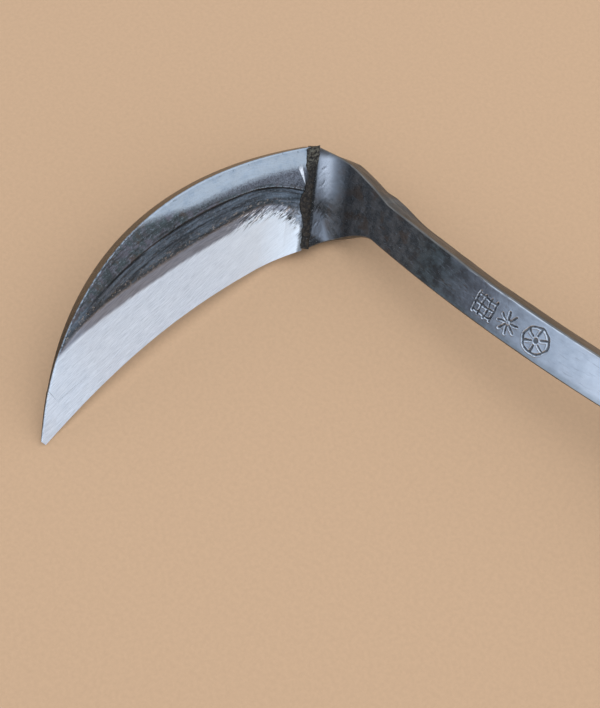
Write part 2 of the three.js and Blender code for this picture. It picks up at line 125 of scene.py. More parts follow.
def smoothstep(value, low, high):
    share = np.clip((value - low) / (high - low), 0, 1)
    return share * share * (3 - 2 * share)


def unit(vector):
    return np.asarray(vector, float) / np.linalg.norm(vector)


def cubic(t, *points):
    """Points of a cubic curve, one row for each t."""
    t = np.asarray(t, float)[:, None]
    a, b, c, d = np.array(points, float)
    return a * (1 - t) ** 3 + 3 * b * t * (1 - t) ** 2 + 3 * c * t * t * (1 - t) + d * t ** 3


def cell_value(cell, seed):
    """A fixed value from -1 to 1 for each whole-number cell."""
    x, y, z = (cell[..., i].astype(np.uint64) for i in range(3))
    mixed = (x * np.uint64(374761393) + y * np.uint64(668265263) + z * np.uint64(2246822519)
             + np.uint64(seed) * np.uint64(3266489917)) & np.uint64(0xFFFFFFFF)
    mixed = ((mixed ^ (mixed >> np.uint64(13))) * np.uint64(1274126177)) & np.uint64(0xFFFFFFFF)
    return ((mixed ^ (mixed >> np.uint64(16))) & np.uint64(0xFFFF)).astype(float) / 32767.5 - 1


def ripple(x, y, size, seed, octaves=1):
    """Smooth noise from about -1 to 1, with bumps of that size, which may be (along x, along y)."""
    along, across = size if isinstance(size, tuple) else (size, size)
    total = np.zeros(np.broadcast(x, y).shape)
    for octave in range(octaves):
        scale = 2 ** octave
        place = np.stack(np.broadcast_arrays(x * scale / along + 500, y * scale / across + 500), -1)
        cell = np.floor(place).astype(np.int64)
        share = place - cell
        share = share * share * (3 - 2 * share)
        corner = np.zeros(cell.shape[:-1] + (3,), np.int64)
        corner[..., 2] = octave
        values = []
        for dx in (0, 1):
            for dy in (0, 1):
                corner[..., 0] = cell[..., 0] + dx
                corner[..., 1] = cell[..., 1] + dy
                values.append(cell_value(corner, seed))
        low = lerp(values[0], values[1], share[..., 1])
        high = lerp(values[2], values[3], share[..., 1])
        total += lerp(low, high, share[..., 0]) / scale
    return total


# ---------------------------------------------------------------- the forging's frame

SLANT = (math.cos(BAR_SLANT), math.sin(BAR_SLANT))
ACROSS_FOLD = np.array([SLANT[0], SLANT[1], 0])
ALONG_FOLD = np.array([-SLANT[1], SLANT[0], 0])
FRONT = np.array([0, 0, 1.0])


def seam_place(across, along):
    sin, cos = math.sin(SEAM_ANGLE), math.cos(SEAM_ANGLE)
    return (SEAM_FOOT[0] + across * sin + along * cos, SEAM_FOOT[1] - across * cos + along * sin)


def flat_place(across, along):
    a, b = across - CROTCH[0], along - CROTCH[1]
    return a * SLANT[0] - b * SLANT[1], a * SLANT[1] + b * SLANT[0]


def fold_place(along, width):
    return (CROTCH[0] + along * SLANT[0] + width * SLANT[1],
            CROTCH[1] - along * SLANT[1] + width * SLANT[0])


def bent(along, width, depth):
    """Bends flat places of the forging into shape. depth is 0 on the front face and negative behind it."""
    along, width, depth = np.broadcast_arrays(*(np.asarray(v, float) for v in (along, width, depth)))
    on_curve = np.clip(along, 0, BAR_CURVE_LENGTH)
    turn = on_curve / BAR_CURVE_RADIUS
    radius = BAR_CURVE_RADIUS + depth
    rest = np.maximum(along - on_curve, 0)
    curved = np.stack([
        radius * np.sin(turn) + rest * np.cos(turn), width,
        radius * np.cos(turn) - BAR_CURVE_RADIUS - rest * np.sin(turn),
    ], -1)
    across, lengthwise = fold_place(along, width)
    past = np.maximum(FOLD_ARC - across, 0)
    turn = np.minimum(past / FOLD_RADIUS, FOLD_ANGLE)
    straight = past - turn * FOLD_RADIUS
    radius = FOLD_RADIUS - depth
    back = radius * np.sin(turn) + straight * np.cos(turn)
    up = FOLD_RADIUS - radius * np.cos(turn) + straight * np.sin(turn)
    x, y = flat_place(FOLD_ARC, lengthwise)
    root = np.stack([x, y, np.zeros_like(x)], -1)
    folded = root - back[..., None] * ACROSS_FOLD + up[..., None] * FRONT
    plain = np.stack([along, width, depth], -1)
    return np.where((along > 0)[..., None], curved, np.where((past > 0)[..., None], folded, plain))


def blade_axes():
    """Origin and axes of the blade's frame: x along the chord, y to the spine, z out of the face."""
    outward = ACROSS_FOLD * math.cos(FOLD_ANGLE) - FRONT * math.sin(FOLD_ANGLE)
    sin, cos = math.sin(SEAM_ANGLE), math.cos(SEAM_ANGLE)
    x = ALONG_FOLD * cos + outward * sin
    y = ALONG_FOLD * sin - outward * cos
    origin = bent(*flat_place(0, 0), -BAR_THICKNESS) - x * SEAM_FOOT[0] - y * SEAM_FOOT[1]
    return origin, np.array([x, y, np.cross(x, y)])


def grip_axes():
    """Origin and axes of the handle's frame: x along it from the ferrule's mouth, z out of the bar's face."""
    turn = BAR_CURVE_LENGTH / BAR_CURVE_RADIUS
    x = np.array([math.cos(turn), 0, -math.sin(turn)])
    y = np.array([0, 1.0, 0])
    return bent(FERRULE_MOUTH, BAR_WIDTH / 2, -BAR_THICKNESS / 2), np.array([x, y, np.cross(x, y)])


BLADE = blade_axes()
GRIP = grip_axes()


def placed(points, axes):
    """Points of the blade's or the handle's frame, in the forging's frame."""
    return axes[0] + points @ axes[1]


def pair_of_axes(places, axis):
    first = unit(places[1] - places[0])
    second = unit(np.cross(first, axis))
    return np.column_stack([first, second, np.cross(first, second)])


def row_turn():
    """The turn and the shift that bring the forging's frame to the row frame."""
    mounts = {m["name"]: m for m in frame["record"]["mounts"]}
    butt, back = mounts["butt_face"], mounts["blade_back"]
    here = [placed(np.array([HANDLE_LENGTH, 0, 0]), GRIP), placed(np.array([60.0, 30.0, 0]), BLADE)]
    there = [np.array(m["pos_m"]) / MM for m in (butt, back)]
    turn = pair_of_axes(there, butt["axis"]) @ pair_of_axes(here, GRIP[1][0]).T
    return turn, there[0] - turn @ here[0]


ROW_TURN, ROW_SHIFT = row_turn()


def in_row(points):
    return (points @ ROW_TURN.T + ROW_SHIFT) * MM


# ---------------------------------------------------------------- closed meshes

def set_vectors(mesh, name, values):
    """Writes one vector for each vertex, which the materials read by its name."""
    layer = mesh.attributes.get(name) or mesh.attributes.new(name, "FLOAT_VECTOR", "POINT")
    layer.data.foreach_set("vector", np.asarray(values, np.float32).ravel())


def new_piece(name, points, faces):
    """An object through points of the forging's frame."""
    mesh = bpy.data.meshes.new(name)
    mesh.from_pydata(in_row(points).tolist(), [], faces)
    piece = bpy.data.objects.new(name, mesh)
    bpy.context.scene.collection.objects.link(piece)
    return piece


def facing_out(points, quads):
    """Whether the faces of a closed mesh face outwards."""
    corners = points[quads]
    return np.einsum("ij,ij->", corners[:, 0], np.cross(corners[:, 1], corners[:, 2])) > 0


def smooth(mesh, sharp_angle):
    """Shades a mesh smooth, apart from edges sharper than an angle in degrees."""
    mesh.polygons.foreach_set("use_smooth", np.ones(len(mesh.polygons), bool))
    mesh.set_sharp_from_angle(angle=math.radians(sharp_angle))


def loft(name, rings, attributes):
    """A closed piece through rings of points, an array (ring, point, xyz) in the forging's frame.

    attributes holds (ring, point, 3) values by name, which the materials read.
    """
    rings = np.asarray(rings, float)
    count, around = rings.shape[:2]
    ring, i = np.meshgrid(np.arange(count - 1), np.arange(around), indexing="ij")
    a = ring * around + i
    b = ring * around + (i + 1) % around
    quads = np.stack([a, b, b + around, a + around], -1).reshape(-1, 4)
    centres = [count * around, count * around + 1]
    i = np.arange(around)
    following = (i + 1) % around
    last = (count - 1) * around
    first_cap = np.stack([following, i, np.full(around, centres[0])], -1)
    last_cap = np.stack([last + i, last + following, np.full(around, centres[1])], -1)
    points = np.vstack([rings.reshape(-1, 3), rings[0].mean(0), rings[-1].mean(0)])
    faces = [*quads.tolist(), *first_cap.tolist(), *last_cap.tolist()]
    if not facing_out(points, quads):
        faces = [face[::-1] for face in faces]
    piece = new_piece(name, points, faces)
    smooth(piece.data, 38)
    for key, values in attributes.items():
        values = np.asarray(values, float)
        ends = [values[0].mean(0), values[-1].mean(0)]
        set_vectors(piece.data, key, np.vstack([values.reshape(-1, 3), *ends]))
    piece.data.validate()
    return piece


def turned(name, profile, segments, axes, wobble=None):
    """A piece turned about the handle's axis. profile is (x, radius); a closed profile makes a shell."""
    profile = np.asarray(profile, float)
    angle = np.arange(segments) / segments * 2 * math.pi
    x = np.repeat(profile[:, :1], segments, 1)
    radius = np.repeat(profile[:, 1:], segments, 1)
    if wobble is not None:
        radius = radius + wobble(x, angle[None, :]) * smoothstep(radius, 0, 6)
    points = np.stack([x, radius * np.cos(angle), radius * np.sin(angle)], -1)
    rings = placed(points, axes)
    return loft(name, rings, {"place": points})


def finish_piece(piece, material, slot, *nodes):
    """Gives a piece its material and its place on the body, and lets it stand for CAD nodes. slot is not
    used.
    """
    piece.data.materials.append(material)
    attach(piece, BODY)
    if nodes:
        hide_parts(*nodes)
    return piece


# ---------------------------------------------------------------- blade

EDGE_LINE = ((-0.8, -1.9), (34.2, 8.1), (60.5, 10.3), seam_place(BLADE_END, 0.7))
SPINE_LINE = ((-1.5, -0.3), (25.7, 42.4), (65.1, 49.6), seam_place(BLADE_END, SEAM_LENGTH))


def below_crease(x, y):
    """How far a place is below the bevel's upper line."""
    return 22.75 - 0.0014 * (x - 60) ** 2 - 0.012 * np.maximum(0, 24 - x) ** 2 - y


def bevel_depth(x, y):
    """How far inside the bevel a place is: below its upper line and before its run-out at the heel."""
    upper = below_crease(x, y)
    heel = 97.8 - 0.038 * (y - 10) ** 2 - x
    rounding = 5.0
    share = np.clip(0.5 + 0.5 * (heel - upper) / rounding, 0, 1)
    return lerp(heel, upper, share) - rounding * share * (1 - share)


def ridge_height(x, y):
    """How far towards the spine a place is from the low ridge along the middle of the face."""
    return y - (33.1 - 0.0044 * (x - 64) ** 2 - 0.015 * np.maximum(0, x - 88) ** 2)


class Blade:
    """The blade's rulings, from the cutting edge to the spine, for the stations t."""

    def __init__(self, t):
        self.t = np.asarray(t, float)
        self.edge = cubic(self.t, *EDGE_LINE)
        self.spine = cubic(self.t, *SPINE_LINE)
        self.length = np.linalg.norm(self.spine - self.edge, axis=1)
        out = np.maximum(0, self.t - RUN_OUT_START) / (1 - RUN_OUT_START)
        self.edge_height = EDGE_LAND + RUN_OUT_HEIGHT * out ** 2
        full = smoothstep(self.t, 0, FULL_THICKNESS_AT)
        self.thickness = lerp(TIP_THICKNESS, BAR_THICKNESS, full)
        self.crease = self.crease_distance()
        room = (0.97 * self.thickness - self.edge_height) / self.crease
        self.slope = np.clip(room, 0.02, BEVEL_SLOPE)

    def crease_distance(self):
        """Distance from the edge to the bevel's upper line, along each ruling."""
        share = np.linspace(0, 1, 120)
        x, y = self.places(share[None, :] * self.length[:, None])
        inside = (below_crease(x, y) > 0).sum(1) / len(share)
        return np.maximum(inside * self.length, 0.5)

    def places(self, distance):
        share = distance / self.length[:, None]
        line = (self.spine - self.edge)[:, None, :]
        place = self.edge[:, None, :] + line * share[..., None]
        return place[..., 0], place[..., 1]

    def height(self, distance):
        """Height of the face side above the flat back, with its ridge, pits and chips."""
        x, y = self.places(distance)
        length, crease = self.length[:, None], self.crease[:, None]
        edge, slope = self.edge_height[:, None], self.slope[:, None]
        thickness = self.thickness[:, None]
        rise = np.clip((distance - crease) / np.maximum(length - crease, 0.5), 0, 1)
        hollow = edge + slope * crease
        face = lerp(np.minimum(hollow, thickness), thickness, smoothstep(rise, -0.3, 0.75))
        level = smoothstep(self.t[:, None], HEEL_LEVEL_START, 1) * (1 - smoothstep(rise, 0, 0.5))
        face = lerp(face, BAR_THICKNESS - HEEL_STEP, level)
        below_spine = length - distance
        fall = SPINE_FALL * smoothstep(x, 46, 78)
        face = face - fall * smoothstep(below_spine, 7.5, 0) ** 1.6
        ridge = ridge_height(x, y)
        shown = smoothstep(x, 30, 60)
        face = face - RIDGE_STEP * shown * (1 - smoothstep(ridge, -0.35, 0.1))
        face = face + 0.07 * shown * np.exp(-((ridge - 0.2) / 0.22) ** 2)
        bevel = edge + slope * distance
        softness = 0.22
        blend = np.clip(0.5 + (face - bevel) / (2 * softness), 0, 1)
        height = lerp(face, bevel, blend) - softness * blend * (1 - blend)
        return height + self.relief(x, y, below_spine)

    def relief(self, x, y, below_spine):
        """Hammering, scale pits and chips on the forged face; faint grinding waves on the bevel."""
        depth = bevel_depth(x, y)
        forged = smoothstep(depth, -2.0, -4.0) * smoothstep(x, 6, 20)
        worn = smoothstep(below_spine, 6.4, 4.6) * smoothstep(x, 52, 74)
        forged = forged * (1 - 0.75 * worn)
        ground = smoothstep(depth, -0.5, 0.5)
        waves = 0.05 * ripple(x, y, (9, 6), 3) + 0.025 * ripple(x, y, 2.6, 4)
        pits = -0.09 * smoothstep(ripple(x, y, 0.9, 5, 2), 0.55, 1.1)
        scale = 0.02 * ripple(x, y, 0.7, 6, 2)
        along = y - 0.20 * x
        grinding = 0.012 * ripple(x, along, (26, 1.1), 7) + 0.02 * ripple(x, along, (40, 5), 8)
        rough_patch = smoothstep(x, 76, 90) * smoothstep(depth, 3.0, 0.5) * smoothstep(depth, -5, -2.5)
        steep = y - 0.3 * x
        gouges = 0.10 * ripple(x + y, steep, (6, 0.7), 9) * rough_patch
        chip = smoothstep(ripple(x, y * 0, 1.7, 10, 2), 0.35, 0.9) * smoothstep(below_spine, 0.9, 0.0)
        return forged * (waves + pits + scale) + ground * grinding + gouges - 0.22 * chip * forged

    def attributes(self, distance, height, side):
        """place, in the blade's frame, and bands: bevel depth, ridge height and distance below the spine."""
        x, y = self.places(distance)
        below = np.maximum(self.length[:, None] - distance, 0)
        return {
            "place": np.stack([x, y, height], -1),
            "bands": np.stack([bevel_depth(x, y), ridge_height(x, y), below], -1),
            "side": np.stack([side, side * 0, side * 0], -1),
        }

    def rings(self, distance, height):
        return placed(np.stack([*self.places(distance), height], -1), BLADE)

    def lamination(self):
        """Distance from the edge at which the iron comes out from behind the steel, a little wavy."""
        start = (STEEL_THICKNESS - self.edge_height) / self.slope
        wave = 0.45 * ripple(self.t * 100, self.t * 0, 7, 12, 2)
        return np.clip(start + wave, 0.25, self.crease - 1.0)


FACE, SPINE_SIDE, BACK = 0.0, 1.0, 2.0


def iron_body():
    """The soft iron body, from the lamination line to the spine, over the steel plate."""
    blade = Blade(np.linspace(ALL_STEEL_LENGTH + 0.0008, 1, 330))
    start = blade.lamination()[:, None]
    length = blade.length[:, None]
    inner = np.minimum(STEEL_WIDTH, length - LEAST_IRON) + HAIRLINE
    floor = np.minimum(STEEL_THICKNESS, blade.height(start)) + HAIRLINE
    arris = 0.4
    top = lerp(start, length - arris, np.linspace(0, 1, 150)[None, :])
    rounding = length - np.array([[0.26, 0.14, 0.05, 0.0]])
    top_height = np.maximum(blade.height(top), floor)
    drop = np.array([[0.04, 0.11, 0.22, 0.36]])
    arris_height = top_height[:, -1:] - drop
    side_height = lerp(arris_height[:, -1:], 0.4, np.linspace(0.15, 1, 7)[None, :])
    side = length + 0.03 * ripple(side_height * 2, blade.t[:, None] * 100, (3, 5), 14)
    foot = length - np.array([[0.08, 0.4]])
    foot_height = np.array([[0.1, 0.0]]) + 0 * length
    back = lerp(length - 1.2, inner, np.linspace(0, 1, 14)[None, :])
    under = lerp(inner, start + 0.05, np.linspace(0, 1, 8)[None, :])
    distance = np.hstack([top, rounding, side, foot, back, under])
    height = np.hstack([top_height, arris_height, side_height, foot_height, 0 * back, floor + 0 * under])
    kinds = [(top, FACE), (rounding, FACE), (side, SPINE_SIDE), (foot, BACK), (back, BACK), (under, BACK)]
    side_of = np.hstack([part * 0 + kind for part, kind in kinds])
    rings = blade.rings(distance, height)
    return loft("blade_body", rings, blade.attributes(distance, height, side_of))


def steel_rings(t, whole):
    """Rings of the steel plate: the whole thickness at the tip, and a thin plate behind it."""
    blade = Blade(t)
    length = blade.length[:, None]
    reach = length - 0.3 if whole else np.maximum(blade.lamination()[:, None], 0.3)
    top = reach * np.linspace(0, 1, 90)[None, :]
    top_height = blade.height(top)
    if whole:
        end = length
        end_height = np.maximum(top_height[:, -1:] - 0.25, 0.3)
    else:
        end = np.minimum(STEEL_WIDTH, length - LEAST_IRON)
        end_height = np.minimum(STEEL_THICKNESS, top_height[:, -1:])
    behind = lerp(reach, end, np.array([[0.35, 0.7, 1.0]]))
    behind_height = lerp(top_height[:, -1:], end_height, np.array([[0.3, 0.65, 1.0]]))
    down = end + 0 * np.zeros((1, 2))
    down_height = end_height * np.array([[0.5, 0.0]])
    back = end * np.linspace(0.92, 0, 10)[None, :]
    distance = np.hstack([top, behind, down, back])
    height = np.hstack([top_height, behind_height, down_height, 0 * back])
    kinds = [(top, FACE), (behind, FACE), (down, SPINE_SIDE if whole else BACK), (back, BACK)]
    side_of = np.hstack([part * 0 + kind for part, kind in kinds])
    return blade, distance, height, side_of


def steel_plate():
    """The hard steel: all of the tip, then the plate along the cutting edge."""
    parts = [
        steel_rings(np.linspace(0, ALL_STEEL_LENGTH, 50), whole=True),
        steel_rings(np.linspace(ALL_STEEL_LENGTH + 0.0004, 1, 330), whole=False),
    ]
    rings, attributes = [], {}
    for blade, distance, height, side_of in parts:
        rings.append(blade.rings(distance, height))
        for key, values in blade.attributes(distance, height, side_of).items():
            attributes.setdefault(key, []).append(values)
    attributes = {key: np.vstack(values) for key, values in attributes.items()}
    return loft("edge_plate", np.vstack(rings), attributes)


# ---------------------------------------------------------------- neck and bar

# Plain punched marks on the bar's front face: (middle along the bar, middle across it, half size).
HATCH_MARK = (44.5, 5.7, 3.1)
STAR_MARK = (52.8, 5.6, 3.2)
RING_MARK = (62.4, 6.0, 3.9)
STROKE_HALF_WIDTH = 0.34
STROKE_DEPTH = 0.34


def segment_distance(s, w, start, end):
    """Distance from flat places to a straight stroke."""
    (s0, w0), (s1, w1) = start, end
    ds, dw = s1 - s0, w1 - w0
    share = np.clip(((s - s0) * ds + (w - w0) * dw) / (ds * ds + dw * dw), 0, 1)
    return np.hypot(s - s0 - ds * share, w - w0 - dw * share)


def rays(middle, inner, outer, count, turn):
    """Straight strokes that leave a middle in all directions."""
    strokes = []
    for angle in turn + np.arange(count) / count * 2 * math.pi:
        reach = np.array([math.cos(angle), math.sin(angle)])
        strokes.append((middle + inner * reach, middle + outer * reach))
    return strokes


def mark_strokes():
    """The straight strokes of the marks: a hatched square, a star of rays, and the rays in the ring."""
    strokes = []
    s, w, half = HATCH_MARK
    for share in (-1, -0.35, 0.35, 1):
        strokes.append(((s + half * share, w - half), (s + half * share, w + half)))
    for share in (-0.8, 0, 0.8):
        strokes.append(((s - half, w + half * share), (s + half, w + half * share)))
    strokes += rays(np.array(STAR_MARK[:2]), 0.9, STAR_MARK[2], 8, 0.2)
    strokes += rays(np.array(RING_MARK[:2]), 1.5, RING_MARK[2], 6, 0.5)
    return strokes


def mark_distance(s, w):
    """Distance from flat places to the nearest stroke of a mark. Hand-cut punches leave wavering strokes."""
    s = s + 0.22 * ripple(s, w, 1.9, 61)
    w = w + 0.22 * ripple(s, w, 1.7, 62)
    nearest = np.abs(np.hypot(s - RING_MARK[0], w - RING_MARK[1]) - RING_MARK[2])
    nearest = np.minimum(nearest, np.maximum(np.hypot(s - RING_MARK[0], w - RING_MARK[1]) - 0.45, 0))
    for start, end in mark_strokes():
        nearest = np.minimum(nearest, segment_distance(s, w, start, end))
    return nearest + 0.07 * ripple(s, w, 0.6, 63) + 0.06


# Folds in the skin of the neck's hollow: (across the fold, along it) of their two ends.
CREASES = (((-1.6, 18.8), (4.6, 16.2)), ((-1.4, 17.0), (6.2, 12.6)), ((-1.0, 12.4), (5.0, 8.4)))


def front_relief(s, w, width):
    """Depth of the front face's hammering, scale pits, creases in the fold and punched marks."""
    across, along = fold_place(s, w)
    inside = smoothstep(np.minimum(w, width - w), 0, 1.2)
    waves = 0.07 * ripple(s, w, (10, 5), 21) + 0.03 * ripple(s, w, 2.8, 22)
    smooth_end = smoothstep(s, 60, 30)
    pits = -0.10 * smoothstep(ripple(s, w, 1.0, 23, 2), 0.5, 1.0) * lerp(0.12, 1, smooth_end)
    scale = 0.02 * ripple(s, w, 0.7, 24, 2) * lerp(0.2, 1, smooth_end)
    dents = -0.16 * smoothstep(ripple(across, along, (7, 3.2), 26, 2), 0.1, 0.9) * smoothstep(along, 15, 9)
    dents = dents * smoothstep(across, 12, 4)
    near = np.full(np.shape(s), 9.0)
    for start, end in CREASES:
        near = np.minimum(near, segment_distance(across, along, start, end))
    crease = -0.22 * smoothstep(near, 0.7, 0.0)
    mark = mark_distance(s, w)
    struck = STROKE_DEPTH * (0.75 + 0.3 * ripple(s, w, 2.2, 64))
    punched = -struck * smoothstep(mark, STROKE_HALF_WIDTH + 0.12, STROKE_HALF_WIDTH - 0.16)
    burr = 0.09 * np.exp(-((mark - STROKE_HALF_WIDTH - 0.24) / 0.13) ** 2)
    return inside * (waves + pits + scale + dents + crease) + punched + burr


def section(width, thickness, taper, edge, flare, front_count):
    """A section of the forging, rounded at its corners, as (distance across, depth)."""
    c = BAR_CHAMFER
    quarter = np.linspace(0, math.pi / 2, 5)[1:-1]
    front_w = np.linspace(c, width - c, front_count)
    upper = [(width - c + c * math.sin(a), -c + c * math.cos(a)) for a in quarter]
    side = [(width + flare * share, lerp(-c, c - thickness, share)) for share in np.linspace(0, 1, 9)]
    inner = width + flare - c
    upper_back = [(inner + c * math.cos(a), c - thickness - c * math.sin(a)) for a in quarter]
    back = [(w, -thickness) for w in np.linspace(inner, taper, 16)]
    slope = [(taper * (1 - k), lerp(-thickness, -edge, k)) for k in (0.25, 0.5, 0.75, 1.0)]
    lower_side = [(0, depth) for depth in np.linspace(-edge, -c, 6)[1:]]
    lower = [(c - c * math.cos(a), -c + c * math.sin(a)) for a in quarter]
    rest = np.array([*upper, *side, *upper_back, *back, *slope, *lower_side, *lower])
    front = np.stack([front_w, 0 * front_w], -1)
    return np.vstack([front, rest])


FRONT_POINTS = 100


def fan_lines():
    """The fan's lower and upper outlines, in fold coordinates, as functions of a share of their length."""
    def quadratic(start, control, end):
        a, b, c = np.array([start, control, end])
        return lambda share: a * (1 - share) ** 2 + 2 * b * share * (1 - share) + c * share ** 2

    lower = quadratic((NECK_START, FAN_FOOT), CROTCH_CONTROL, CROTCH)
    upper = quadratic((NECK_START, FAN_TOP), FAN_TOP_CONTROL, fold_place(0, BAR_WIDTH))
    return lower, upper


def share_at(line, across):
    """The share of an outline at which it reaches a distance across the fold."""
    shares = np.linspace(0, 1, 400)
    reached = [line(share)[0] for share in shares]
    return float(np.interp(across, reached, shares))


def tang_size(share):
    """The tang's width and thickness, at a share of its length."""
    return lerp(TANG_ROOT[0], TANG_TIP[0], share), lerp(TANG_ROOT[1], TANG_TIP[1], share)


def forging_stations():
    """(ends, thickness, taper, edge, flare) of each section, with its two ends in flat coordinates."""
    lower, upper = fan_lines()
    pairs = []
    for across in np.linspace(NECK_START, FOLD_ARC, 70):
        pairs.append((lower(share_at(lower, across)), upper(share_at(upper, across))))
    low_end, high_end = share_at(lower, FOLD_ARC), share_at(upper, FOLD_ARC)
    for share in np.linspace(0, 1, 60)[1:-1]:
        pairs.append((lower(lerp(low_end, 1, share)), upper(lerp(high_end, 1, share))))
    stations = []
    for i, (low, high) in enumerate(pairs):
        share = i / len(pairs)
        taper = lerp(FAN_EDGE_TAPER, BAR_CHAMFER, share)
        edge = lerp(FAN_EDGE_THICKNESS, BAR_THICKNESS - BAR_CHAMFER, share)
        ends = np.array([flat_place(*low), flat_place(*high)])
        flare = NECK_FLARE * smoothstep(high[0], FLARE_START, upper(1.0)[0])
        stations.append((ends, BAR_THICKNESS, taper, edge, flare))
    marks_start, marks_end = HATCH_MARK[0] - 5, RING_MARK[0] + 6
    shoulder = FERRULE_MOUTH - SHOULDER_LENGTH
    bar = np.concatenate([
        np.linspace(1e-6, marks_start, 110), np.linspace(marks_start, marks_end, 220)[1:],
        np.linspace(marks_end, shoulder, 100)[1:],
    ])
    plain = (BAR_THICKNESS, BAR_CHAMFER, BAR_THICKNESS - BAR_CHAMFER)
    for s in bar:
        flare = NECK_FLARE * (1 - smoothstep(s, 0, FLARE_LENGTH))
        stations.append((np.array([(s, 0), (s, BAR_WIDTH)]), *plain, flare))
    for share in np.linspace(0, 1, 24):
        width, thickness = tang_size(share)
        s = FERRULE_MOUTH + TANG_START + TANG_LENGTH * share
        side = (BAR_WIDTH - width) / 2
        ends = np.array([(s, side), (s, BAR_WIDTH - side)])
        stations.append((ends, thickness, BAR_CHAMFER, thickness - BAR_CHAMFER, 0))
    return stations


def forging():
    """Fan, fold, bar and tang, as one forging."""
    rings, places, seams = [], [], []
    for ends, thickness, taper, edge, flare in forging_stations():
        width = np.linalg.norm(ends[1] - ends[0])
        outline = section(width, thickness, taper, edge, flare, FRONT_POINTS)
        share = outline[:, :1] / width
        flat = ends[0] + (ends[1] - ends[0]) * share
        s, w = flat[:, 0], flat[:, 1]
        depth = outline[:, 1] - (BAR_THICKNESS - thickness) / 2
        front = np.arange(len(outline)) < FRONT_POINTS
        if thickness >= BAR_THICKNESS:
            depth = depth + np.where(front, front_relief(s, outline[:, 0], width), 0)
        rough = 0.05 * ripple(s, depth * 3 + w, (4, 2), 31) + 0.12 * ripple(s, w * 0, 14, 32)
        outer = outline[:, 0] > width - 0.6
        w = w + np.where(outer & ~front, rough, 0)
        rings.append(bent(s, w, depth))
        places.append(np.stack([s, w, depth], -1))
        across, along = fold_place(s, w)
        seams.append(np.stack([across, along, np.where(front, 0.0, 1.0)], -1))
    marks = mark_distance(np.array(places)[..., 0], np.array(places)[..., 1])
    front_marks = np.where(np.array(seams)[..., 2] > 0.5, 9.0, marks)
    values = {"place": places, "seam": seams, "mark": np.stack([front_marks] * 3, -1)}
    return loft("neck_forging", rings, values)


# ---------------------------------------------------------------- weld

# The bead's two borders, across the seam, at distances along it.
BEAD_ALONG = (0.0, 3.0, 6.0, 9.3, 11.5, 13.6, 16.9, 19.5, 21.5, 24.0, 26.3, 29.0, 31.8)
BEAD_LEFT = (-5.7, -5.5, -5.5, -5.8, -6.6, -7.5, -7.3, -6.2, -5.6, -5.8, -6.9, -6.6, -6.3)
BEAD_RIGHT = (-3.0, -3.2, -3.35, -3.4, -3.4, -3.4, -3.4, -3.4, -3.4, -3.1, -2.6, -2.4, -2.4)


def bead(name, front):
    """A run of weld metal along the seam. The front one is lumpy; the back one is ground flush."""
    along = np.linspace(1.3, SEAM_LENGTH - 0.05, 200)
    left = np.interp(along, BEAD_ALONG, BEAD_LEFT) + 0.30 * ripple(along, along * 0, 1.6, 41, 2)
    left = np.minimum(left, BLADE_END - 0.12)
    right = np.interp(along, BEAD_ALONG, BEAD_RIGHT) + 0.25 * ripple(along, along * 0, 1.4, 42, 2)
    right = np.maximum(right, NECK_START + 0.12)
    gap_low, gap_high = BLADE_END + HAIRLINE, NECK_START - HAIRLINE
    middle = -BAR_THICKNESS / 2
    share = np.linspace(0, 1, 36)
    if front:
        across = lerp(left[:, None], right[:, None], share[None, :])
        crown = 0.34 * (1 - (2 * share[None, :] - 1) ** 2) ** 0.7
        crown = crown * (1 + 0.5 * ripple(along[:, None], along[:, None] * 0, 3.2, 43, 2))
        lumps = 0.20 * ripple(along[:, None], across, 1.1, 44, 2)
        lumps = lumps + 0.10 * ripple(along[:, None] + 0.5 * across, across, (1.2, 6), 45)
        sunk = lerp(-0.45, -0.12, smoothstep(along, 1, 14))[:, None]
        base = lerp(sunk, -0.06, share[None, :])
        depth = base + crown + lumps * (1 - np.abs(2 * share[None, :] - 1) ** 3)
        side = -1.1
        edges = [(right, side), (gap_high, side), (gap_high, middle), (gap_low, middle),
                 (gap_low, side - 0.2), (left, side - 0.2)]
    else:
        along = np.linspace(3.0, SEAM_LENGTH - 0.15, 130)
        across = lerp(gap_low, gap_high, share[None, :]) + 0 * along[:, None]
        depth = -BAR_THICKNESS + 0.06 + 0.05 * ripple(along[:, None], across, 0.8, 46, 2)
        edges = [(gap_high, middle - HAIRLINE), (gap_low, middle - HAIRLINE)]
    column = np.zeros((len(along), 1))
    across = np.hstack([across, *[column + np.reshape(border, (-1, 1)) for border, _ in edges]])
    depth = np.hstack([depth, *[column + level for _, level in edges]])
    # The upper end leans, to run from the blade's spine up to the fan's outline and to hide its root.
    lean = 0.30 * (across - BLADE_END) + 0.42 * np.minimum(depth, 0)
    along = along[:, None] + lean * smoothstep(along, 27.5, 31.8)[:, None]
    s, w = flat_place(across, along)
    place = np.stack([across, along, depth], -1)
    return loft(name, bent(s, w, depth), {"place": place})


# ---------------------------------------------------------------- handle end

def ferrule_radius(x):
    return lerp(*FERRULE_RADIUS, x / FERRULE_LENGTH)


def inside_ferrule(x):
    return ferrule_radius(x) - FERRULE_WALL - HAIRLINE


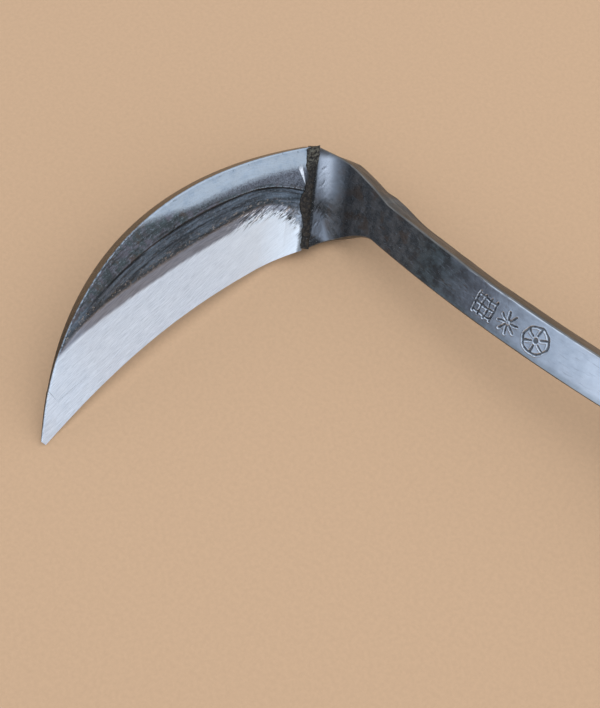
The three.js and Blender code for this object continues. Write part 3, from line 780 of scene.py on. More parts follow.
def handle_profile():
    """The handle's outline, as (x, radius): inside the ferrule, along the grip and round the butt."""
    seat = FERRULE_LENGTH + 0.1
    end = HANDLE_LENGTH
    knots = [(seat, 12.3), (seat + 3, 12.9), (seat + 34, 13.3), (seat + 58, 13.6), (end - 34, 13.0),
             (end - 14, 13.9), (end - 8, 14.2)]
    x = np.linspace(seat + 0.4, end - BUTT_ROUNDING, 150)
    radius = np.interp(x, *zip(*knots))
    kernel = np.hanning(25) / np.hanning(25).sum()
    radius = np.convolve(np.pad(radius, 12, mode="edge"), kernel, mode="valid")
    angles = np.linspace(0, math.pi / 2, 9)[1:]
    corner = [(end - BUTT_ROUNDING * (1 - math.sin(a)), radius[-1] - BUTT_ROUNDING * (1 - math.cos(a)))
              for a in angles]
    front = [(WOOD_START, 0.01), (WOOD_START, inside_ferrule(WOOD_START) - 0.5),
             (WOOD_START + 0.5, inside_ferrule(WOOD_START + 0.5))]
    front += [(x0, inside_ferrule(x0)) for x0 in np.linspace(3, seat - 0.1, 12)]
    front += [(seat, 11.9), (seat + 0.1, 12.1)]
    butt = [(end, r) for r in np.linspace(corner[-1][1], 0.01, 14)[1:]]
    return [*front, *zip(x, radius), *corner, *butt]


def cut_away(piece, low, high, name):
    """Cuts a four-sided tapering hole out of a piece. Each end is (x, half width, lowest z, highest z)."""
    points = []
    for x, half, bottom, top in (low, high):
        points += [(x, -half, bottom), (x, half, bottom), (x, half, top), (x, -half, top)]
    faces = [(0, 3, 2, 1), (4, 5, 6, 7), (0, 1, 5, 4), (1, 2, 6, 5), (2, 3, 7, 6), (3, 0, 4, 7)]
    tool = new_piece(name, placed(np.array(points, float), GRIP), faces)
    cut = piece.modifiers.new(name, "BOOLEAN")
    cut.operation, cut.solver, cut.object = "DIFFERENCE", "EXACT", tool
    bpy.context.view_layer.update()
    graph = bpy.context.evaluated_depsgraph_get()
    made = bpy.data.meshes.new_from_object(piece.evaluated_get(graph))
    piece.modifiers.clear()
    piece.data = made
    bpy.data.objects.remove(tool)
    rows = np.array([v.co for v in made.vertices]) / MM
    places = ((rows - ROW_SHIFT) @ ROW_TURN - GRIP[0]) @ GRIP[1].T
    set_vectors(made, "place", places)


def wooden_handle():
    """The turned handle, with the tang's socket and the wedge's seat cut into it."""
    def hand_made(x, angle):
        waves = 0.10 * ripple(x, np.cos(angle) * 6, (30, 5), 51)
        facets = 0.03 * ripple(x, np.sin(angle) * 12, (14, 2), 52)
        return (waves + facets) * smoothstep(x, FERRULE_LENGTH, FERRULE_LENGTH + 4)

    piece = turned("wooden_handle", handle_profile(), 128, GRIP, hand_made)
    spare = 0.12
    socket = []
    for x, share in ((-1.0, 0.0), (TANG_LENGTH, 1.0)):
        half, high = (size / 2 + spare for size in tang_size(share))
        socket.append((x, half, -high, high))
    cut_away(piece, *socket, "tang_socket")
    seat = []
    for x, height in ((0.5, WEDGE_HEIGHTS[0]), (WEDGE_LENGTH + 0.3, WEDGE_HEIGHTS[1])):
        bottom = tang_size((x - TANG_START) / TANG_LENGTH)[1] / 2
        seat.append((x, WEDGE_WIDTH / 2 + spare, bottom, bottom + 0.3 + height + spare))
    cut_away(piece, *seat, "wedge_seat")
    return piece


def ferrule_tube():
    """The ferrule: a tapering tube with a groove near its mouth and a rolled bead at its rear."""
    mouth, rear = FERRULE_RADIUS
    groove = [(x, ferrule_radius(x) - dip)
              for x, dip in ((4.6, 0), (4.8, 0.16), (5.1, 0.2), (5.4, 0.16), (5.6, 0))]
    bead_arc = [(FERRULE_LENGTH - 1.3 - 1.1 * math.cos(a), rear - 0.15 + 0.5 * math.sin(a))
                for a in np.linspace(0, math.pi, 11)]
    outer = [(0.0, mouth - 0.75), (0.08, mouth - 0.3), (0.35, mouth), *groove,
             *[(x, ferrule_radius(x)) for x in np.linspace(8, FERRULE_LENGTH - 3, 6)],
             *bead_arc, (FERRULE_LENGTH, rear - 0.25)]
    inner = [(x, ferrule_radius(x) - FERRULE_WALL) for x in np.linspace(FERRULE_LENGTH, 0, 8)]
    loop = np.array([*outer, *inner])
    angle = np.arange(128) / 128 * 2 * math.pi
    radius = loop[:, 1][None, :] + 0.02 * ripple(loop[:, 0][None, :], angle[:, None] * 8, (6, 4), 55)
    points = np.stack([loop[:, 0][None, :] + 0 * radius, radius * np.cos(angle)[:, None],
                       radius * np.sin(angle)[:, None]], -1)
    return closed_band("ferrule_tube", points)


def closed_band(name, points):
    """A closed ring of sections, as in a tube: points is (section, point, xyz) in the handle's frame."""
    count, around = points.shape[:2]
    ring, i = np.meshgrid(np.arange(count), np.arange(around), indexing="ij")
    after, beside = (ring + 1) % count, (i + 1) % around
    quads = np.stack([ring * around + i, ring * around + beside, after * around + beside,
                      after * around + i], -1).reshape(-1, 4)
    flat = placed(points, GRIP).reshape(-1, 3)
    if not facing_out(flat, quads):
        quads = quads[:, ::-1]
    piece = new_piece(name, flat, quads.tolist())
    smooth(piece.data, 50)
    set_vectors(piece.data, "place", points.reshape(-1, 3))
    return piece


def rivet_pin():
    """The pin through ferrule, wood and tang, with a peened dome at each end."""
    reach = ferrule_radius(PIN_AT)
    radius, height = PIN_HEAD
    dome = [(reach - 0.1 + height * math.sin(a), radius * math.cos(a)) for a in np.linspace(0, 1.45, 12)]
    half = [(0.0, PIN_RADIUS), (reach - 0.15, PIN_RADIUS), (reach - 0.15, radius - 0.1), *dome,
            (reach - 0.1 + height, 0.01)]
    profile = [(-z, r) for z, r in reversed(half[1:])] + half
    origin, (x, y, z) = GRIP
    upright = (origin + x * PIN_AT, np.array([z, x, y]))
    return turned("ferrule_rivet", profile, 48, upright)


# ---------------------------------------------------------------- materials

class Output:
    """The output of a node. Sums, products and the like of outputs are the outputs of math nodes."""

    def __init__(self, nodes, socket):
        self.nodes, self.socket = nodes, socket

    def __add__(self, other):
        return self.nodes.math("ADD", self, other)

    def __sub__(self, other):
        return self.nodes.math("SUBTRACT", self, other)

    def __rsub__(self, other):
        return self.nodes.math("SUBTRACT", other, self)

    def __mul__(self, other):
        return self.nodes.math("MULTIPLY", self, other)

    def __truediv__(self, other):
        return self.nodes.math("DIVIDE", self, other)

    def __abs__(self):
        return self.nodes.math("ABSOLUTE", self)

    def __neg__(self):
        return self * -1.0

    __radd__, __rmul__ = __add__, __mul__


class Nodes:
    """A node tree, built one node at a time. Values may be numbers, colours or outputs."""

    def __init__(self, tree):
        self.tree = tree

    def put(self, socket, value):
        if isinstance(value, Output):
            self.tree.links.new(value.socket, socket)
        elif isinstance(value, tuple) and socket.type == "RGBA":
            socket.default_value = (*value, 1.0)
        else:
            socket.default_value = value

    def node(self, kind, inputs=(), output=0, **settings):
        node = self.tree.nodes.new(kind)
        for key, value in settings.items():
            setattr(node, key, value)
        for key, value in dict(inputs).items():
            self.put(node.inputs[key], value)
        return Output(self, node.outputs[output])

    def attribute(self, name):
        return self.node("ShaderNodeAttribute", output="Vector", attribute_name=name)

    def object_place(self):
        """The place in the object's own coordinates, in millimetres."""
        return self.stretched(self.node("ShaderNodeTexCoord", output="Object"), (1 / MM, 1 / MM, 1 / MM))

    def parts(self, vector):
        node = self.tree.nodes.new("ShaderNodeSeparateXYZ")
        self.put(node.inputs[0], vector)
        return [Output(self, socket) for socket in node.outputs]

    def vector(self, x, y, z=0.0):
        return self.node("ShaderNodeCombineXYZ", {0: x, 1: y, 2: z})

    def math(self, operation, a, b=0.0):
        return self.node("ShaderNodeMath", {0: a, 1: b}, operation=operation)

    def largest(self, a, b):
        return self.math("MAXIMUM", a, b)

    def stretched(self, vector, scale):
        return self.node("ShaderNodeVectorMath", {0: vector, 1: scale}, operation="MULTIPLY")

    def noise(self, vector, scale=1.0, detail=3.0, rough=0.55):
        inputs = {"Vector": vector, "Scale": scale, "Detail": detail, "Roughness": rough}
        return self.node("ShaderNodeTexNoise", inputs)

    def step(self, value, low, high):
        """0 below low, 1 above high, smooth between; low may be above high."""
        inputs = {0: value, 1: low, 2: high}
        return self.node("ShaderNodeMapRange", inputs, interpolation_type="SMOOTHSTEP")

    def mix(self, share, a, b):
        """Colour a where share is 0, and b where it is 1."""
        return self.node("ShaderNodeMix", {0: share, 6: a, 7: b}, output=2, data_type="RGBA")

    def blend(self, share, a, b):
        """Number a where share is 0, and b where it is 1."""
        return self.node("ShaderNodeMix", {0: share, 2: a, 3: b})

    def bump(self, height, distance, normal=None):
        inputs = {"Height": height, "Distance": distance * MM, "Strength": 1.0}
        if normal is not None:
            inputs["Normal"] = normal
        return self.node("ShaderNodeBump", inputs)


class Shader(Nodes):
    """A material with one surface, whose colour is laid on in layers."""

    def __init__(self, name, metallic=0.0):
        self.material = bpy.data.materials.new(name)
        self.material.use_nodes = True
        super().__init__(self.material.node_tree)
        self.surface = self.tree.nodes["Principled BSDF"]
        self.surface.inputs["Metallic"].default_value = metallic

    def cover(self, share, colour):
        """Lays a colour over what is there, as far as share says."""
        self.colour = self.mix(share, self.colour, colour)

    def finish(self, roughness, normal):
        self.put(self.surface.inputs["Base Color"], self.colour)
        self.put(self.surface.inputs["Roughness"], roughness)
        self.put(self.surface.inputs["Normal"], normal)
        return self.material


# Colours of bare, blued and scaled iron, as linear reflectances.
SCALE_DARK = (0.046, 0.049, 0.050)
SCALE_TEAL = (0.070, 0.086, 0.090)
SCALE_CHARCOAL = (0.096, 0.093, 0.091)
SCALE_VIOLET = (0.125, 0.120, 0.140)
SCALE_BROWN = (0.110, 0.078, 0.060)
BLUED = (0.150, 0.190, 0.235)
BLUED_DARK = (0.055, 0.066, 0.076)
WORN_GREY = (0.40, 0.48, 0.57)
BAND_GREY = (0.355, 0.400, 0.445)
SOFT_VIOLET = (0.33, 0.345, 0.39)
GROUND = (0.78, 0.85, 0.93)
GROUND_DULL = (0.56, 0.63, 0.71)
# GLINT is a painted highlight colour, not a colour of the iron.
GLINT = (0.92, 0.95, 1.0)
BLACK_OXIDE = (0.016, 0.016, 0.017)


def blade_material(name, ground_colour):
    """Forged face with its bands, soft ground border, brushed bevel, scaled back and oiled spine, with
    painted glints and a painted floor reflection on the spine side.
    """
    s = Shader(name, metallic=1.0)
    place, bands = s.attribute("place"), s.attribute("bands")
    x, y, _ = s.parts(place)
    depth, ridge, below = s.parts(bands)
    side = s.parts(s.attribute("side"))[0]
    on_face, off_face, on_back = s.step(side, 0.5, 0.4), s.step(side, 0.4, 0.6), s.step(side, 1.4, 1.6)

    fine = s.noise(place, 2.6, 4, 0.7)
    coarse = s.noise(place, 0.35, 4, 0.6)
    medium = s.noise(place, 1.0, 4, 0.65)
    # Streaks that follow the curve of the spine, with a little slant where the face was drawn out.
    along = s.vector(x * 0.1, ridge)
    drawn = s.noise(along, 0.9, 4, 0.6)
    hairlines = s.noise(s.vector(x * 0.05, ridge), 3.2, 3, 0.7)
    ragged = (medium - 0.5) * 2.4
    frayed = (fine - 0.5) * 1.6 + ragged

    # Forged face: dark scale with violet, brown and teal patches, bluer below the ridge.
    s.colour = s.mix(s.step(coarse, 0.42, 0.62), SCALE_TEAL, SCALE_VIOLET)
    s.cover(s.step(drawn, 0.45, 0.66), SCALE_DARK)
    brown = s.step(s.noise(place, 0.24, 3, 0.5), 0.55, 0.66) * 0.5
    s.cover(brown, SCALE_BROWN)
    below_ridge = s.step(ridge + ragged * 0.4, 0.2, -0.5)
    blued = s.mix(s.step(drawn, 0.36, 0.64), BLUED, BLUED_DARK)
    blued = s.mix(s.step(hairlines, 0.5, 0.66) * 0.6, blued, SCALE_VIOLET)
    s.cover(below_ridge * 0.85, blued)
    # Pale grey specks are painted glints on the hammered scale; the dark specks are darker scale.
    flake_and_glint_noise = s.noise(s.vector(x * 0.6, ridge), 1.5, 5, 0.75)
    s.cover(s.step(flake_and_glint_noise, 0.52, 0.64) * 0.5, (0.25, 0.29, 0.33))
    s.cover(s.step(flake_and_glint_noise, 0.44, 0.34) * 0.6, SCALE_DARK)
    # Grey scale above the ridge towards the heel, speckled where it has flaked.
    heel_scale = s.step(x, 62.0, 88.0) * s.step(ridge, 0.2, 1.5)
    s.cover(heel_scale * 0.8, s.mix(s.step(fine, 0.44, 0.62), (0.2, 0.22, 0.26), (0.09, 0.09, 0.105)))
    # The light worn band next to the spine: wide at the heel, gone before the middle of the blade.
    width = s.blend(s.step(x, 48.0, 74.0), 0.0, 5.6)
    inside = width - below - frayed * 0.55
    band = s.step(inside, -1.3, 1.3) * s.step(x, 46.0, 58.0)
    mottled = s.mix(s.step(coarse, 0.46, 0.7) * 0.6, BAND_GREY, (0.24, 0.3, 0.37))
    mottled = s.mix(s.step(fine, 0.52, 0.66) * 0.45, mottled, (0.22, 0.25, 0.29))
    mottled = s.mix(s.step(hairlines, 0.46, 0.62) * 0.35, mottled, WORN_GREY)
    s.cover(band, mottled)
    # Dark line under the ridge, and the thin bright lip above it near the heel.
    line = s.step(abs(ridge + 0.35), 0.6, 0.1)
    line = line * s.step(x, 20.0, 42.0) * s.step(drawn, 0.3, 0.5)
    s.cover(line * 0.8, BLACK_OXIDE)
    lip = s.step(abs(ridge - 0.15), 0.28, 0.08) * (s.step(x, 70.0, 92.0) * s.step(fine, 0.4, 0.55))
    s.cover(lip * 0.75, WORN_GREY)
    # A second, fainter groove halfway between ridge and bevel.
    groove = s.step(abs(ragged * 0.25 + ridge + 3.4), 0.5, 0.1)
    groove = groove * s.step(abs(x - 60.0), 30.0, 12.0)
    s.cover(groove * 0.55, BLACK_OXIDE)
    # Dark pitted line along the top of the soft ground border.
    border = s.step(x, 10.0, 34.0) * 2.6 + 0.7
    beyond = depth + border + frayed * 0.45
    pitted = s.step(abs(beyond + 0.6), 1.1, 0.25)
    s.cover(pitted * 0.45, SCALE_DARK)
    crumbs = s.step(s.noise(s.stretched(place, (0.6, 1.0, 1.0)), 1.5, 4, 0.7), 0.55, 0.64)
    near_line = s.step(abs(beyond + 1.0), 1.6, 0.5)
    s.cover(near_line * crumbs * 0.75, (0.36, 0.32, 0.285))
    white = s.step(s.noise(place, 1.7, 5, 0.75), 0.665, 0.72)
    s.cover(white * 0.5, WORN_GREY)
    soft = s.step(beyond, -0.5, 0.5)
    soft_colour = s.mix(s.step(s.noise(along, 2.2, 3, 0.6), 0.35, 0.70),
                        SOFT_VIOLET, (0.235, 0.245, 0.28))
    s.cover(soft, soft_colour)

    # Bevel, brushed nearly along the chord; coarse strokes run steeper at its heel.
    slanted = y - x * 0.2
    brush = s.noise(s.vector(x * 0.05, slanted), 5.0, 4, 0.7)
    wide = s.noise(s.vector(x * 0.03, slanted), 0.55, 3, 0.6)
    steep = y - x * 0.4
    stroke = s.noise(s.vector(x * 0.12, steep), 1.5, 3, 0.6)
    bevel_colour = s.mix(s.step(brush, 0.4, 0.64) * 0.95, ground_colour, GROUND_DULL)
    bevel_colour = s.mix(s.step(wide, 0.4, 0.7) * 0.35, bevel_colour, GROUND_DULL)
    bevel_colour = s.mix(s.step(x, 55.0, 92.0) * 0.5, bevel_colour, (0.9, 0.96, 1.0))
    # The rough strokes left where the grinding wheel was brought down, near the weld.
    near_heel = s.step(x, 74.0, 86.0) * s.step(x, 101.0, 98.0)
    stroke_edge = (stroke - 0.5) * s.blend(near_heel, 0.8, 6.5)
    ground = s.step(depth + stroke_edge + near_heel * 1.3, -0.5, 0.5)
    dark_stroke = near_heel * s.step(depth, 2.4, 0.2) * s.step(stroke, 0.5, 0.6)
    bevel_colour = s.mix(dark_stroke * 0.7, bevel_colour, (0.1, 0.11, 0.13))
    s.cover(ground, bevel_colour)
    # Bold scratches across the top of that patch: dark ones, and pale ones painted as glints.
    scratch = s.noise(s.vector(x * 0.16, slanted), 1.9, 3, 0.6)
    patch = s.step(abs(depth + 1.3), 2.8, 1.4) * near_heel
    s.cover(patch * s.step(scratch, 0.54, 0.61), (0.045, 0.05, 0.055))
    s.cover(patch * s.step(scratch, 0.43, 0.37), GLINT)
    # Ground strip between the bevel's heel and the weld, and a painted glint: a bright sliver beside the
    # weld's top.
    strip = s.step(x, 95.0, 98.5) * s.step(y, 21.0, 15.0)
    strip_colour = s.mix(s.step(s.noise(place, 1.1, 4, 0.7), 0.42, 0.64),
                         (0.46, 0.52, 0.60), (0.16, 0.18, 0.20))
    s.cover(strip * (1.0 - ground), strip_colour)
    across_sliver = x - 105.6 - (y - 23.8) * 0.16
    taper = abs(across_sliver) - (y - 23.0) * 0.13
    sliver = s.step(taper, 0.1, -0.1) * s.step(y, 29.5, 27.0)
    s.cover(sliver, GLINT)

    # Soot beside the weld.
    sin, cos = math.sin(SEAM_ANGLE), math.cos(SEAM_ANGLE)
    across_seam = (x - SEAM_FOOT[0]) * sin - (y - SEAM_FOOT[1]) * cos
    soot = s.step(frayed * 0.45 + across_seam, -6.8, -5.9) * 0.75
    s.cover(soot, (0.045, 0.043, 0.041))

    # Chipped, rubbed arris next to the spine.
    worn = below - (fine - 0.5)
    pale_cover = s.step(worn, 0.3, 0.1) * on_face
    pale_cover = pale_cover * (s.step(medium, 0.4, 0.56) * 0.75 + 0.15)
    s.cover(pale_cover, WORN_GREY)
    chip_noise = s.noise(s.vector(x * 0.8, below * 0.5), 0.55, 3, 0.6)
    chips = s.step(chip_noise, 0.6, 0.66) * s.step(below, 1.3, 0.5)
    chips = chips * s.step(x, 44.0, 56.0) * on_face
    s.cover(chips * 0.8, (0.07, 0.085, 0.09))
    # Spine side: smooth dark oxide, tinted brown as a painted reflection of the floor, nearly black towards
    # the tip.
    spine_colour = s.mix(s.step(x, 34.0, 14.0), (0.16, 0.135, 0.10), (0.05, 0.048, 0.045))
    spine_colour = s.mix(s.step(s.noise(place, 1.3, 4, 0.7), 0.55, 0.72),
                         spine_colour, (0.30, 0.25, 0.19))
    s.cover(off_face, spine_colour)
    # Flat back: scaled iron, with a ground strip along the edge.
    back_ground = s.step(depth + ragged * 0.8, -1.0, 2.0)
    back_colour = s.mix(s.step(coarse, 0.40, 0.62), (0.075, 0.085, 0.095), (0.15, 0.15, 0.165))
    brushed_back = s.mix(s.step(brush, 0.4, 0.62), GROUND_DULL, (0.38, 0.42, 0.47))
    back_colour = s.mix(back_ground, back_colour, brushed_back)
    s.cover(on_back, back_colour)

    rough = s.blend(band, s.blend(medium, 0.32, 0.50), 0.36)
    rough = s.blend(soft, rough, 0.42)
    rough = s.blend(ground, rough, s.blend(brush, 0.38, 0.50))
    rough = s.blend(off_face, rough, 0.34)
    rough = s.blend(on_back, rough, s.blend(back_ground, 0.5, 0.36))
    # Fine grinding scatters light like a pale matt surface.
    matt = ground * on_face
    s.put(s.surface.inputs["Metallic"], s.blend(matt, 1.0, 0.42))
    even = s.largest(ground, s.largest(soft * 0.85, band * 0.8))
    normal = s.bump((fine * 0.6 + medium) * (1.0 - even), 0.16)
    strokes = stroke * near_heel * 1.2 + brush
    normal = s.bump(strokes * ground, 0.05, normal=normal)
    return s.finish(rough, normal)


def bar_material():
    """Forged bar: black scale at the fold, blued and then brighter towards the handle from wear and a painted
    reflection, with a painted reflection in the fold and painted highlights on an arris and the burrs.
    """
    s = Shader("forged_bar_finish", metallic=1.0)
    place, seam = s.attribute("place"), s.attribute("seam")
    along, width, _ = s.parts(place)
    across, lengthwise, side = s.parts(seam)
    fine = s.noise(place, 2.8, 5, 0.72)
    medium = s.noise(place, 1.0, 4, 0.65)
    coarse = s.noise(place, 0.28, 4, 0.6)
    wander = (coarse - 0.5) * 26.0 + along
    lengthened = s.stretched(place, (0.12, 1.0, 1.0))
    drawn = s.noise(lengthened, 1.6, 4, 0.6)

    neck = s.step(along, 26.0, 8.0)
    s.colour = s.mix(s.step(coarse, 0.40, 0.60), SCALE_DARK, s.mix(neck, SCALE_TEAL, SCALE_CHARCOAL))
    s.cover(s.step(fine, 0.45, 0.62) * neck * 0.6, (0.13, 0.13, 0.14))
    brown = s.step(s.noise(place, 0.2, 3, 0.5), 0.5, 0.64) * neck
    s.cover(brown * 0.6, (0.085, 0.06, 0.045))
    # Brighter along the bar towards the handle: partly wear, partly a painted reflection.
    s.cover(s.step(wander, 20.0, 48.0), (0.13, 0.14, 0.165))
    s.cover(s.step(wander, 38.0, 64.0), (0.34, 0.39, 0.46))
    s.cover(s.step(wander, 58.0, 92.0), (0.60, 0.66, 0.74))
    edge_dark = s.step(width, 2.6, 0.4) * s.step(along, 20.0, 34.0)
    s.cover(edge_dark * 0.45, (0.1, 0.13, 0.14))
    s.cover(s.step(drawn, 0.56, 0.7) * 0.35, (0.2, 0.22, 0.26))
    # Painted highlight: a thin pale line along the upper front arris, from about 30 mm along the bar.
    arris = s.step(width, 11.4, 12.0) * s.step(along, 30.0, 46.0) * s.step(drawn, 0.36, 0.5)
    s.cover(arris * 0.8, (0.74, 0.8, 0.88))

    # The fold's hollow beside the weld has a painted reflection: a pale band at its upper half, fading
    # towards the bar, and below it pale streaks that spread from the middle of the weld.
    ragged = (medium - 0.5) * 3.0
    soft_ragged = (coarse - 0.5) * 7.0
    spread = across + soft_ragged * 0.5 + ragged * 0.35
    fade = s.step(spread, 10.5, -0.8) * s.step(across, -3.8, -1.8)
    upper = s.step(lengthwise + soft_ragged, 13.5, 20.0) * s.step(lengthwise, 31.5, 28.5)
    reach = across + 5.0
    turn = (18.0 - lengthwise) / s.largest(reach, 0.5)
    rays = s.noise(s.vector(turn * 1.6, reach * 0.08), 1.5, 3, 0.55)
    wedge = s.step(across + lengthwise * 0.4, 6.4, 4.0) * s.step(lengthwise, 14.5, 11.0)
    wedge = wedge * s.step(lengthwise + ragged, 1.2, 4.5)
    streaks = s.step(spread, 9.0, 2.0) * s.step(rays, 0.42, 0.66) * s.step(lengthwise, 17.0, 13.0)
    lower = s.largest(wedge * 0.75, streaks * 0.4)
    bright = s.step(lengthwise, 15.0, 25.0) * s.step(abs(across - 0.2), 4.0, 0.5)
    pale_cover = s.largest(fade * upper * 0.8, lower)
    pale = s.mix(bright * upper, (0.27, 0.31, 0.37), (0.6, 0.66, 0.75))
    pale = s.mix(s.step(fine, 0.48, 0.7) * 0.45, pale, (0.15, 0.17, 0.2))
    s.cover(pale_cover, pale)
    # Painted dark reflection, darkest where the fold turns into the bar.
    turn_dark = s.step(abs(spread - 7.4), 5.6, 0.6)
    s.cover(turn_dark * 0.35, (0.036, 0.036, 0.037))
    # White specks where the scale is chipped.
    specks = s.step(s.noise(place, 1.5, 5, 0.8), 0.635, 0.68) * s.step(along, 60.0, 20.0)
    s.cover(specks * 0.6, WORN_GREY)
    # Burnt, spattered metal along the weld and under its lower end.
    from_foot = across * 0.42 + ragged * 0.5 + lengthwise
    foot = s.step(from_foot, 6.0, 3.6) * s.step(across, 9.0, 4.0)
    burnt = s.largest(foot, s.step(ragged * 0.3 + across, -2.3, -3.0))
    burnt_colour = s.mix(s.step(fine, 0.57, 0.64), (0.028, 0.029, 0.030), (0.34, 0.36, 0.37))
    s.cover(burnt * 0.9, burnt_colour)
    # Punched marks: dark floors, and painted glints on their burrs.
    mark = s.parts(s.attribute("mark"))[0]
    burr = s.step(mark, 0.62, 0.45) * s.step(medium, 0.38, 0.56)
    s.cover(burr, (0.62, 0.68, 0.76))
    s.cover(s.step(mark, 0.44, 0.2) * 0.82, BLACK_OXIDE)
    # Side faces: smooth oxide, tinted brown as a painted reflection of the floor, and lighter towards the
    # handle from wear and a painted reflection.
    side_colour = s.mix(s.step(s.noise(lengthened, 0.9, 4, 0.65), 0.42, 0.66),
                        (0.135, 0.130, 0.120), (0.215, 0.200, 0.180))
    worn = s.step(wander, 60.0, 100.0)
    side_colour = s.mix(worn * 0.4, side_colour, (0.34, 0.33, 0.32))
    s.cover(side, side_colour)

    rough = s.blend(s.step(wander, 20.0, 70.0), s.blend(fine, 0.30, 0.50), s.blend(drawn, 0.24, 0.36))
    rough = s.blend(neck, rough, s.blend(fine, 0.48, 0.66))
    rough = s.blend(pale_cover, rough, 0.42)
    rough = s.blend(burnt, rough, 0.6)
    rough = s.blend(side, rough, 0.36)
    strength = s.blend(s.step(along, 14.0, 60.0), 1.0, 0.22)
    strength = strength * s.blend(pale_cover, 1.0, 0.25)
    height = (fine * 0.6 + medium) * strength
    return s.finish(rough, s.bump(height, 0.15))


def weld_material():
    """Sandy black and brown weld slag, greenish at the top, with bright spatter specks."""
    s = Shader("weld_slag", metallic=0.65)
    place = s.attribute("place")
    _, lengthwise, _ = s.parts(place)
    fine = s.noise(place, 3.2, 5, 0.75)
    medium = s.noise(place, 1.1, 4, 0.7)
    s.colour = s.mix(s.step(medium, 0.38, 0.64), (0.022, 0.021, 0.021), (0.072, 0.060, 0.048))
    top = s.step(lengthwise, 23.0, 28.0) * s.step(medium, 0.45, 0.62)
    s.cover(top * 0.6, (0.22, 0.215, 0.17))
    s.cover(s.step(fine, 0.62, 0.70), (0.42, 0.42, 0.42))
    s.cover(s.step(fine, 0.40, 0.30), (0.010, 0.010, 0.011))
    height = fine * 0.8 + medium
    return s.finish(s.blend(fine, 0.42, 0.75), s.bump(height, 0.35))


def wood_material(name, light, dark, worn):
    """Straight-grained wood along the handle, with growth rings and pores, and wear on the handle's own."""
    s = Shader(name, metallic=0.0)
    s.surface.inputs["Coat Weight"].default_value = 0.12
    s.surface.inputs["Coat Roughness"].default_value = 0.35
    place = s.attribute("place") if worn else s.object_place()
    x, y, z = s.parts(place)
    bend = (s.noise(s.stretched(place, (0.02, 0.1, 0.1)), 1.0, 2) - 0.5) * 9.0
    off_axis = s.vector(x * 0.012, y + bend, z + 21.0)
    rings = s.node("ShaderNodeTexWave", {"Vector": off_axis, "Scale": 0.20, "Distortion": 1.6, "Detail": 3.0,
                                         "Detail Scale": 1.4}, wave_type="RINGS", rings_direction="X")
    fibres = s.noise(s.stretched(place, (0.05, 2.2, 2.2)), 1.0, 4, 0.65)
    pores = s.noise(s.stretched(place, (0.14, 4.5, 4.5)), 1.0, 3, 0.7)
    mottle = s.noise(place, 0.045, 3, 0.6)
    s.colour = s.mix(rings * 0.55, light, dark)
    s.cover(s.step(fibres, 0.4, 0.68) * 0.45, dark)
    s.cover(s.step(mottle, 0.42, 0.66) * 0.4, (0.3, 0.17, 0.08))
    s.cover(s.step(pores, 0.6, 0.7) * 0.75, (0.12, 0.065, 0.03))
    if worn:
        soiled = s.step(x, 34.0, 26.0) * s.step(s.noise(place, 0.5, 4, 0.7), 0.35, 0.6)
        s.cover(soiled * 0.7, (0.075, 0.05, 0.035))
        rim = s.step(x, 138.0, 141.0) * s.step(s.noise(place, 0.8, 4, 0.7), 0.4, 0.6)
        s.cover(rim * 0.5, (0.16, 0.1, 0.06))
    height = fibres * 0.7 - pores * 0.8
    return s.finish(s.blend(fibres, 0.42, 0.62), s.bump(height, 0.22))


def ferrule_material():
    """Turned steel: fine rings from the lathe, dull patches and a little rust in the groove."""
    s = Shader("ferrule_steel_finish", metallic=1.0)
    place = s.attribute("place")
    x = s.parts(place)[0]
    lathe = s.noise(s.stretched(place, (5.0, 0.08, 0.08)), 1.0, 4, 0.7)
    medium = s.noise(place, 0.55, 5, 0.65)
    s.colour = s.mix(s.step(lathe, 0.36, 0.66), (0.52, 0.54, 0.56), (0.36, 0.38, 0.40))
    s.cover(s.step(medium, 0.5, 0.66) * 0.6, (0.2, 0.19, 0.18))
    rust = s.step(s.noise(place, 0.9, 5, 0.75), 0.56, 0.66) * s.step(x, 9.0, 3.0)
    s.cover(rust * 0.75, (0.2, 0.085, 0.035))
    scratch = s.step(s.noise(s.stretched(place, (0.5, 3.0, 3.0)), 1.0, 3, 0.8), 0.64, 0.69)
    s.cover(scratch * 0.5, (0.7, 0.72, 0.75))
    height = lathe + medium * 0.6
    return s.finish(s.blend(medium, 0.24, 0.46), s.bump(height, 0.05))


# ---------------------------------------------------------------- setting

FLOOR_COLOUR = (0.618, 0.392, 0.226)
FLOOR_RADIUS = 9.0
SKY_STRENGTH = 1.14
VIEW_AZIMUTH, VIEW_ELEVATION = 34.94, 60.0
VIEW_LENS = 75.0
VIEW_DISTANCE = 0.4318
VIEW_TARGET = Vector((-0.09861, 0.00399, 0.0))


def direction(azimuth, elevation):
    """Unit vector towards an azimuth, counted from +X, and an elevation, in degrees."""
    a, e = math.radians(azimuth), math.radians(elevation)
    return Vector((math.cos(a) * math.cos(e), math.sin(a) * math.cos(e), math.sin(e)))


def camera():
    data = bpy.data.cameras.new("view")
    data.lens = VIEW_LENS
    data.clip_start = 0.01
    eye = bpy.data.objects.new("view", data)
    back = direction(VIEW_AZIMUTH - 90, VIEW_ELEVATION)
    eye.location = VIEW_TARGET + back * VIEW_DISTANCE
    eye.rotation_euler = (-back).to_track_quat("-Z", "Y").to_euler()
    bpy.context.scene.collection.objects.link(eye)
    bpy.context.scene.camera = eye


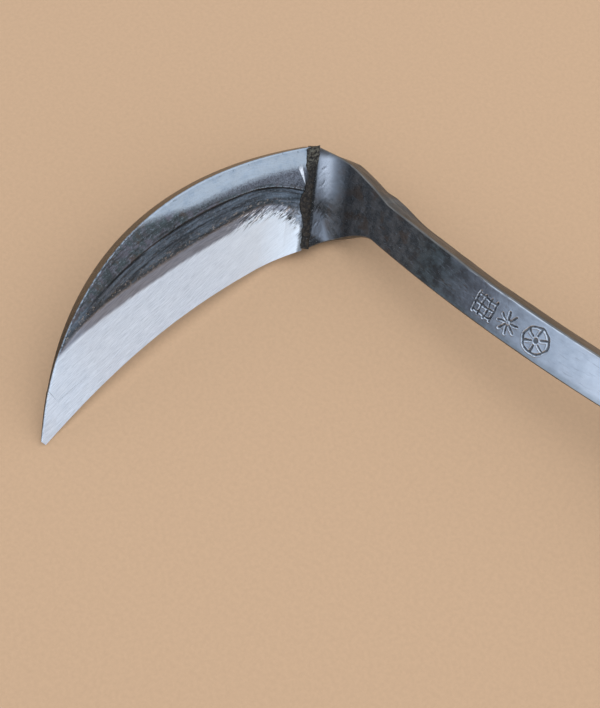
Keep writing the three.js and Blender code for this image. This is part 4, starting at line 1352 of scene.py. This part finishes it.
def floor():
    """A plain pale floor with a faint paper-like unevenness."""
    steps = 96
    points = [(0, 0, 0)] + [(FLOOR_RADIUS * math.cos(a), FLOOR_RADIUS * math.sin(a), 0)
                            for a in np.arange(steps) / steps * 2 * math.pi]
    faces = [(0, i + 1, (i + 1) % steps + 1) for i in range(steps)]
    mesh = bpy.data.meshes.new("floor")
    mesh.from_pydata(points, [], faces)
    ground = bpy.data.objects.new("floor", mesh)
    bpy.context.scene.collection.objects.link(ground)
    s = Shader("floor_paper")
    place = s.object_place()
    grain = s.noise(place, 0.8, 5, 0.7)
    darker = tuple(channel * 0.93 for channel in FLOOR_COLOUR)
    s.colour = s.mix(s.step(grain, 0.3, 0.7), FLOOR_COLOUR, darker)
    mesh.materials.append(s.finish(0.85, s.bump(grain, 0.08)))


def soft_light(name, azimuth, elevation, distance, size, power, colour):
    data = bpy.data.lights.new(name, "AREA")
    data.shape, data.size, data.energy, data.color = "DISK", size, power, colour
    lamp = bpy.data.objects.new(name, data)
    towards = direction(azimuth, elevation)
    lamp.location = towards * distance
    lamp.rotation_euler = towards.to_track_quat("Z", "Y").to_euler()
    bpy.context.scene.collection.objects.link(lamp)


def sky():
    """An overcast studio sky: bluish white, dim at the horizon, and dimmer on one side."""
    world = bpy.data.worlds.new("studio")
    world.use_nodes = True
    bpy.context.scene.world = world
    s = Nodes(world.node_tree)
    towards = s.node("ShaderNodeTexCoord", output="Generated")
    height = s.parts(towards)[2]
    bright_side = direction(-22, 0)
    facing = s.node("ShaderNodeVectorMath", {0: towards, 1: tuple(bright_side)}, output="Value",
                    operation="DOT_PRODUCT")
    lit = s.step(facing, -0.72, 0.05)
    lit = s.largest(lit, s.step(height, 0.35, 0.8))
    low = s.mix(lit, (0.12, 0.13, 0.145), (0.62, 0.68, 0.78))
    colour = s.mix(s.step(height, 0.05, 0.45), low, (0.86, 0.93, 1.04))
    colour = s.mix(s.step(height, 0.02, -0.10), colour, (0.16, 0.14, 0.12))
    background = world.node_tree.nodes["Background"]
    s.put(background.inputs["Color"], colour)
    background.inputs["Strength"].default_value = SKY_STRENGTH


camera()
floor()
sky()
soft_light("key", azimuth=46, elevation=58, distance=1.2, size=1.2, power=1.8,
           colour=(1.0, 0.97, 0.93))
bpy.context.scene.view_settings.view_transform = "Standard"

# ---------------------------------------------------------------- pieces

finish_piece(iron_body(), blade_material("forged_face", GROUND), "blade_iron", "blade_iron")
finish_piece(steel_plate(), blade_material("ground_steel", (0.79, 0.86, 0.945)), "edge_steel", "edge_steel")
finish_piece(forging(), bar_material(), "forged_bar", "neck_bar")
slag = weld_material()
finish_piece(bead("face_bead", True), slag, "weld_metal", "weld_face_run")
finish_piece(bead("back_bead", False), slag, "weld_metal", "weld_back_run")
oak = wood_material("handle_wood_finish", (0.62, 0.40, 0.20), (0.40, 0.225, 0.10), worn=True)
finish_piece(wooden_handle(), oak, "handle_wood", "handle")
tube_steel = ferrule_material()
finish_piece(ferrule_tube(), tube_steel, "ferrule_steel", "ferrule")
finish_piece(rivet_pin(), tube_steel, "ferrule_steel", "ferrule_pin")
wedge = frame["nodes"]["tang_wedge"]
wedge.data.materials.clear()
hidden_wood = wood_material("wedge_wood_finish", (0.50, 0.31, 0.15), (0.30, 0.17, 0.08), worn=False)
wedge.data.materials.append(hidden_wood)
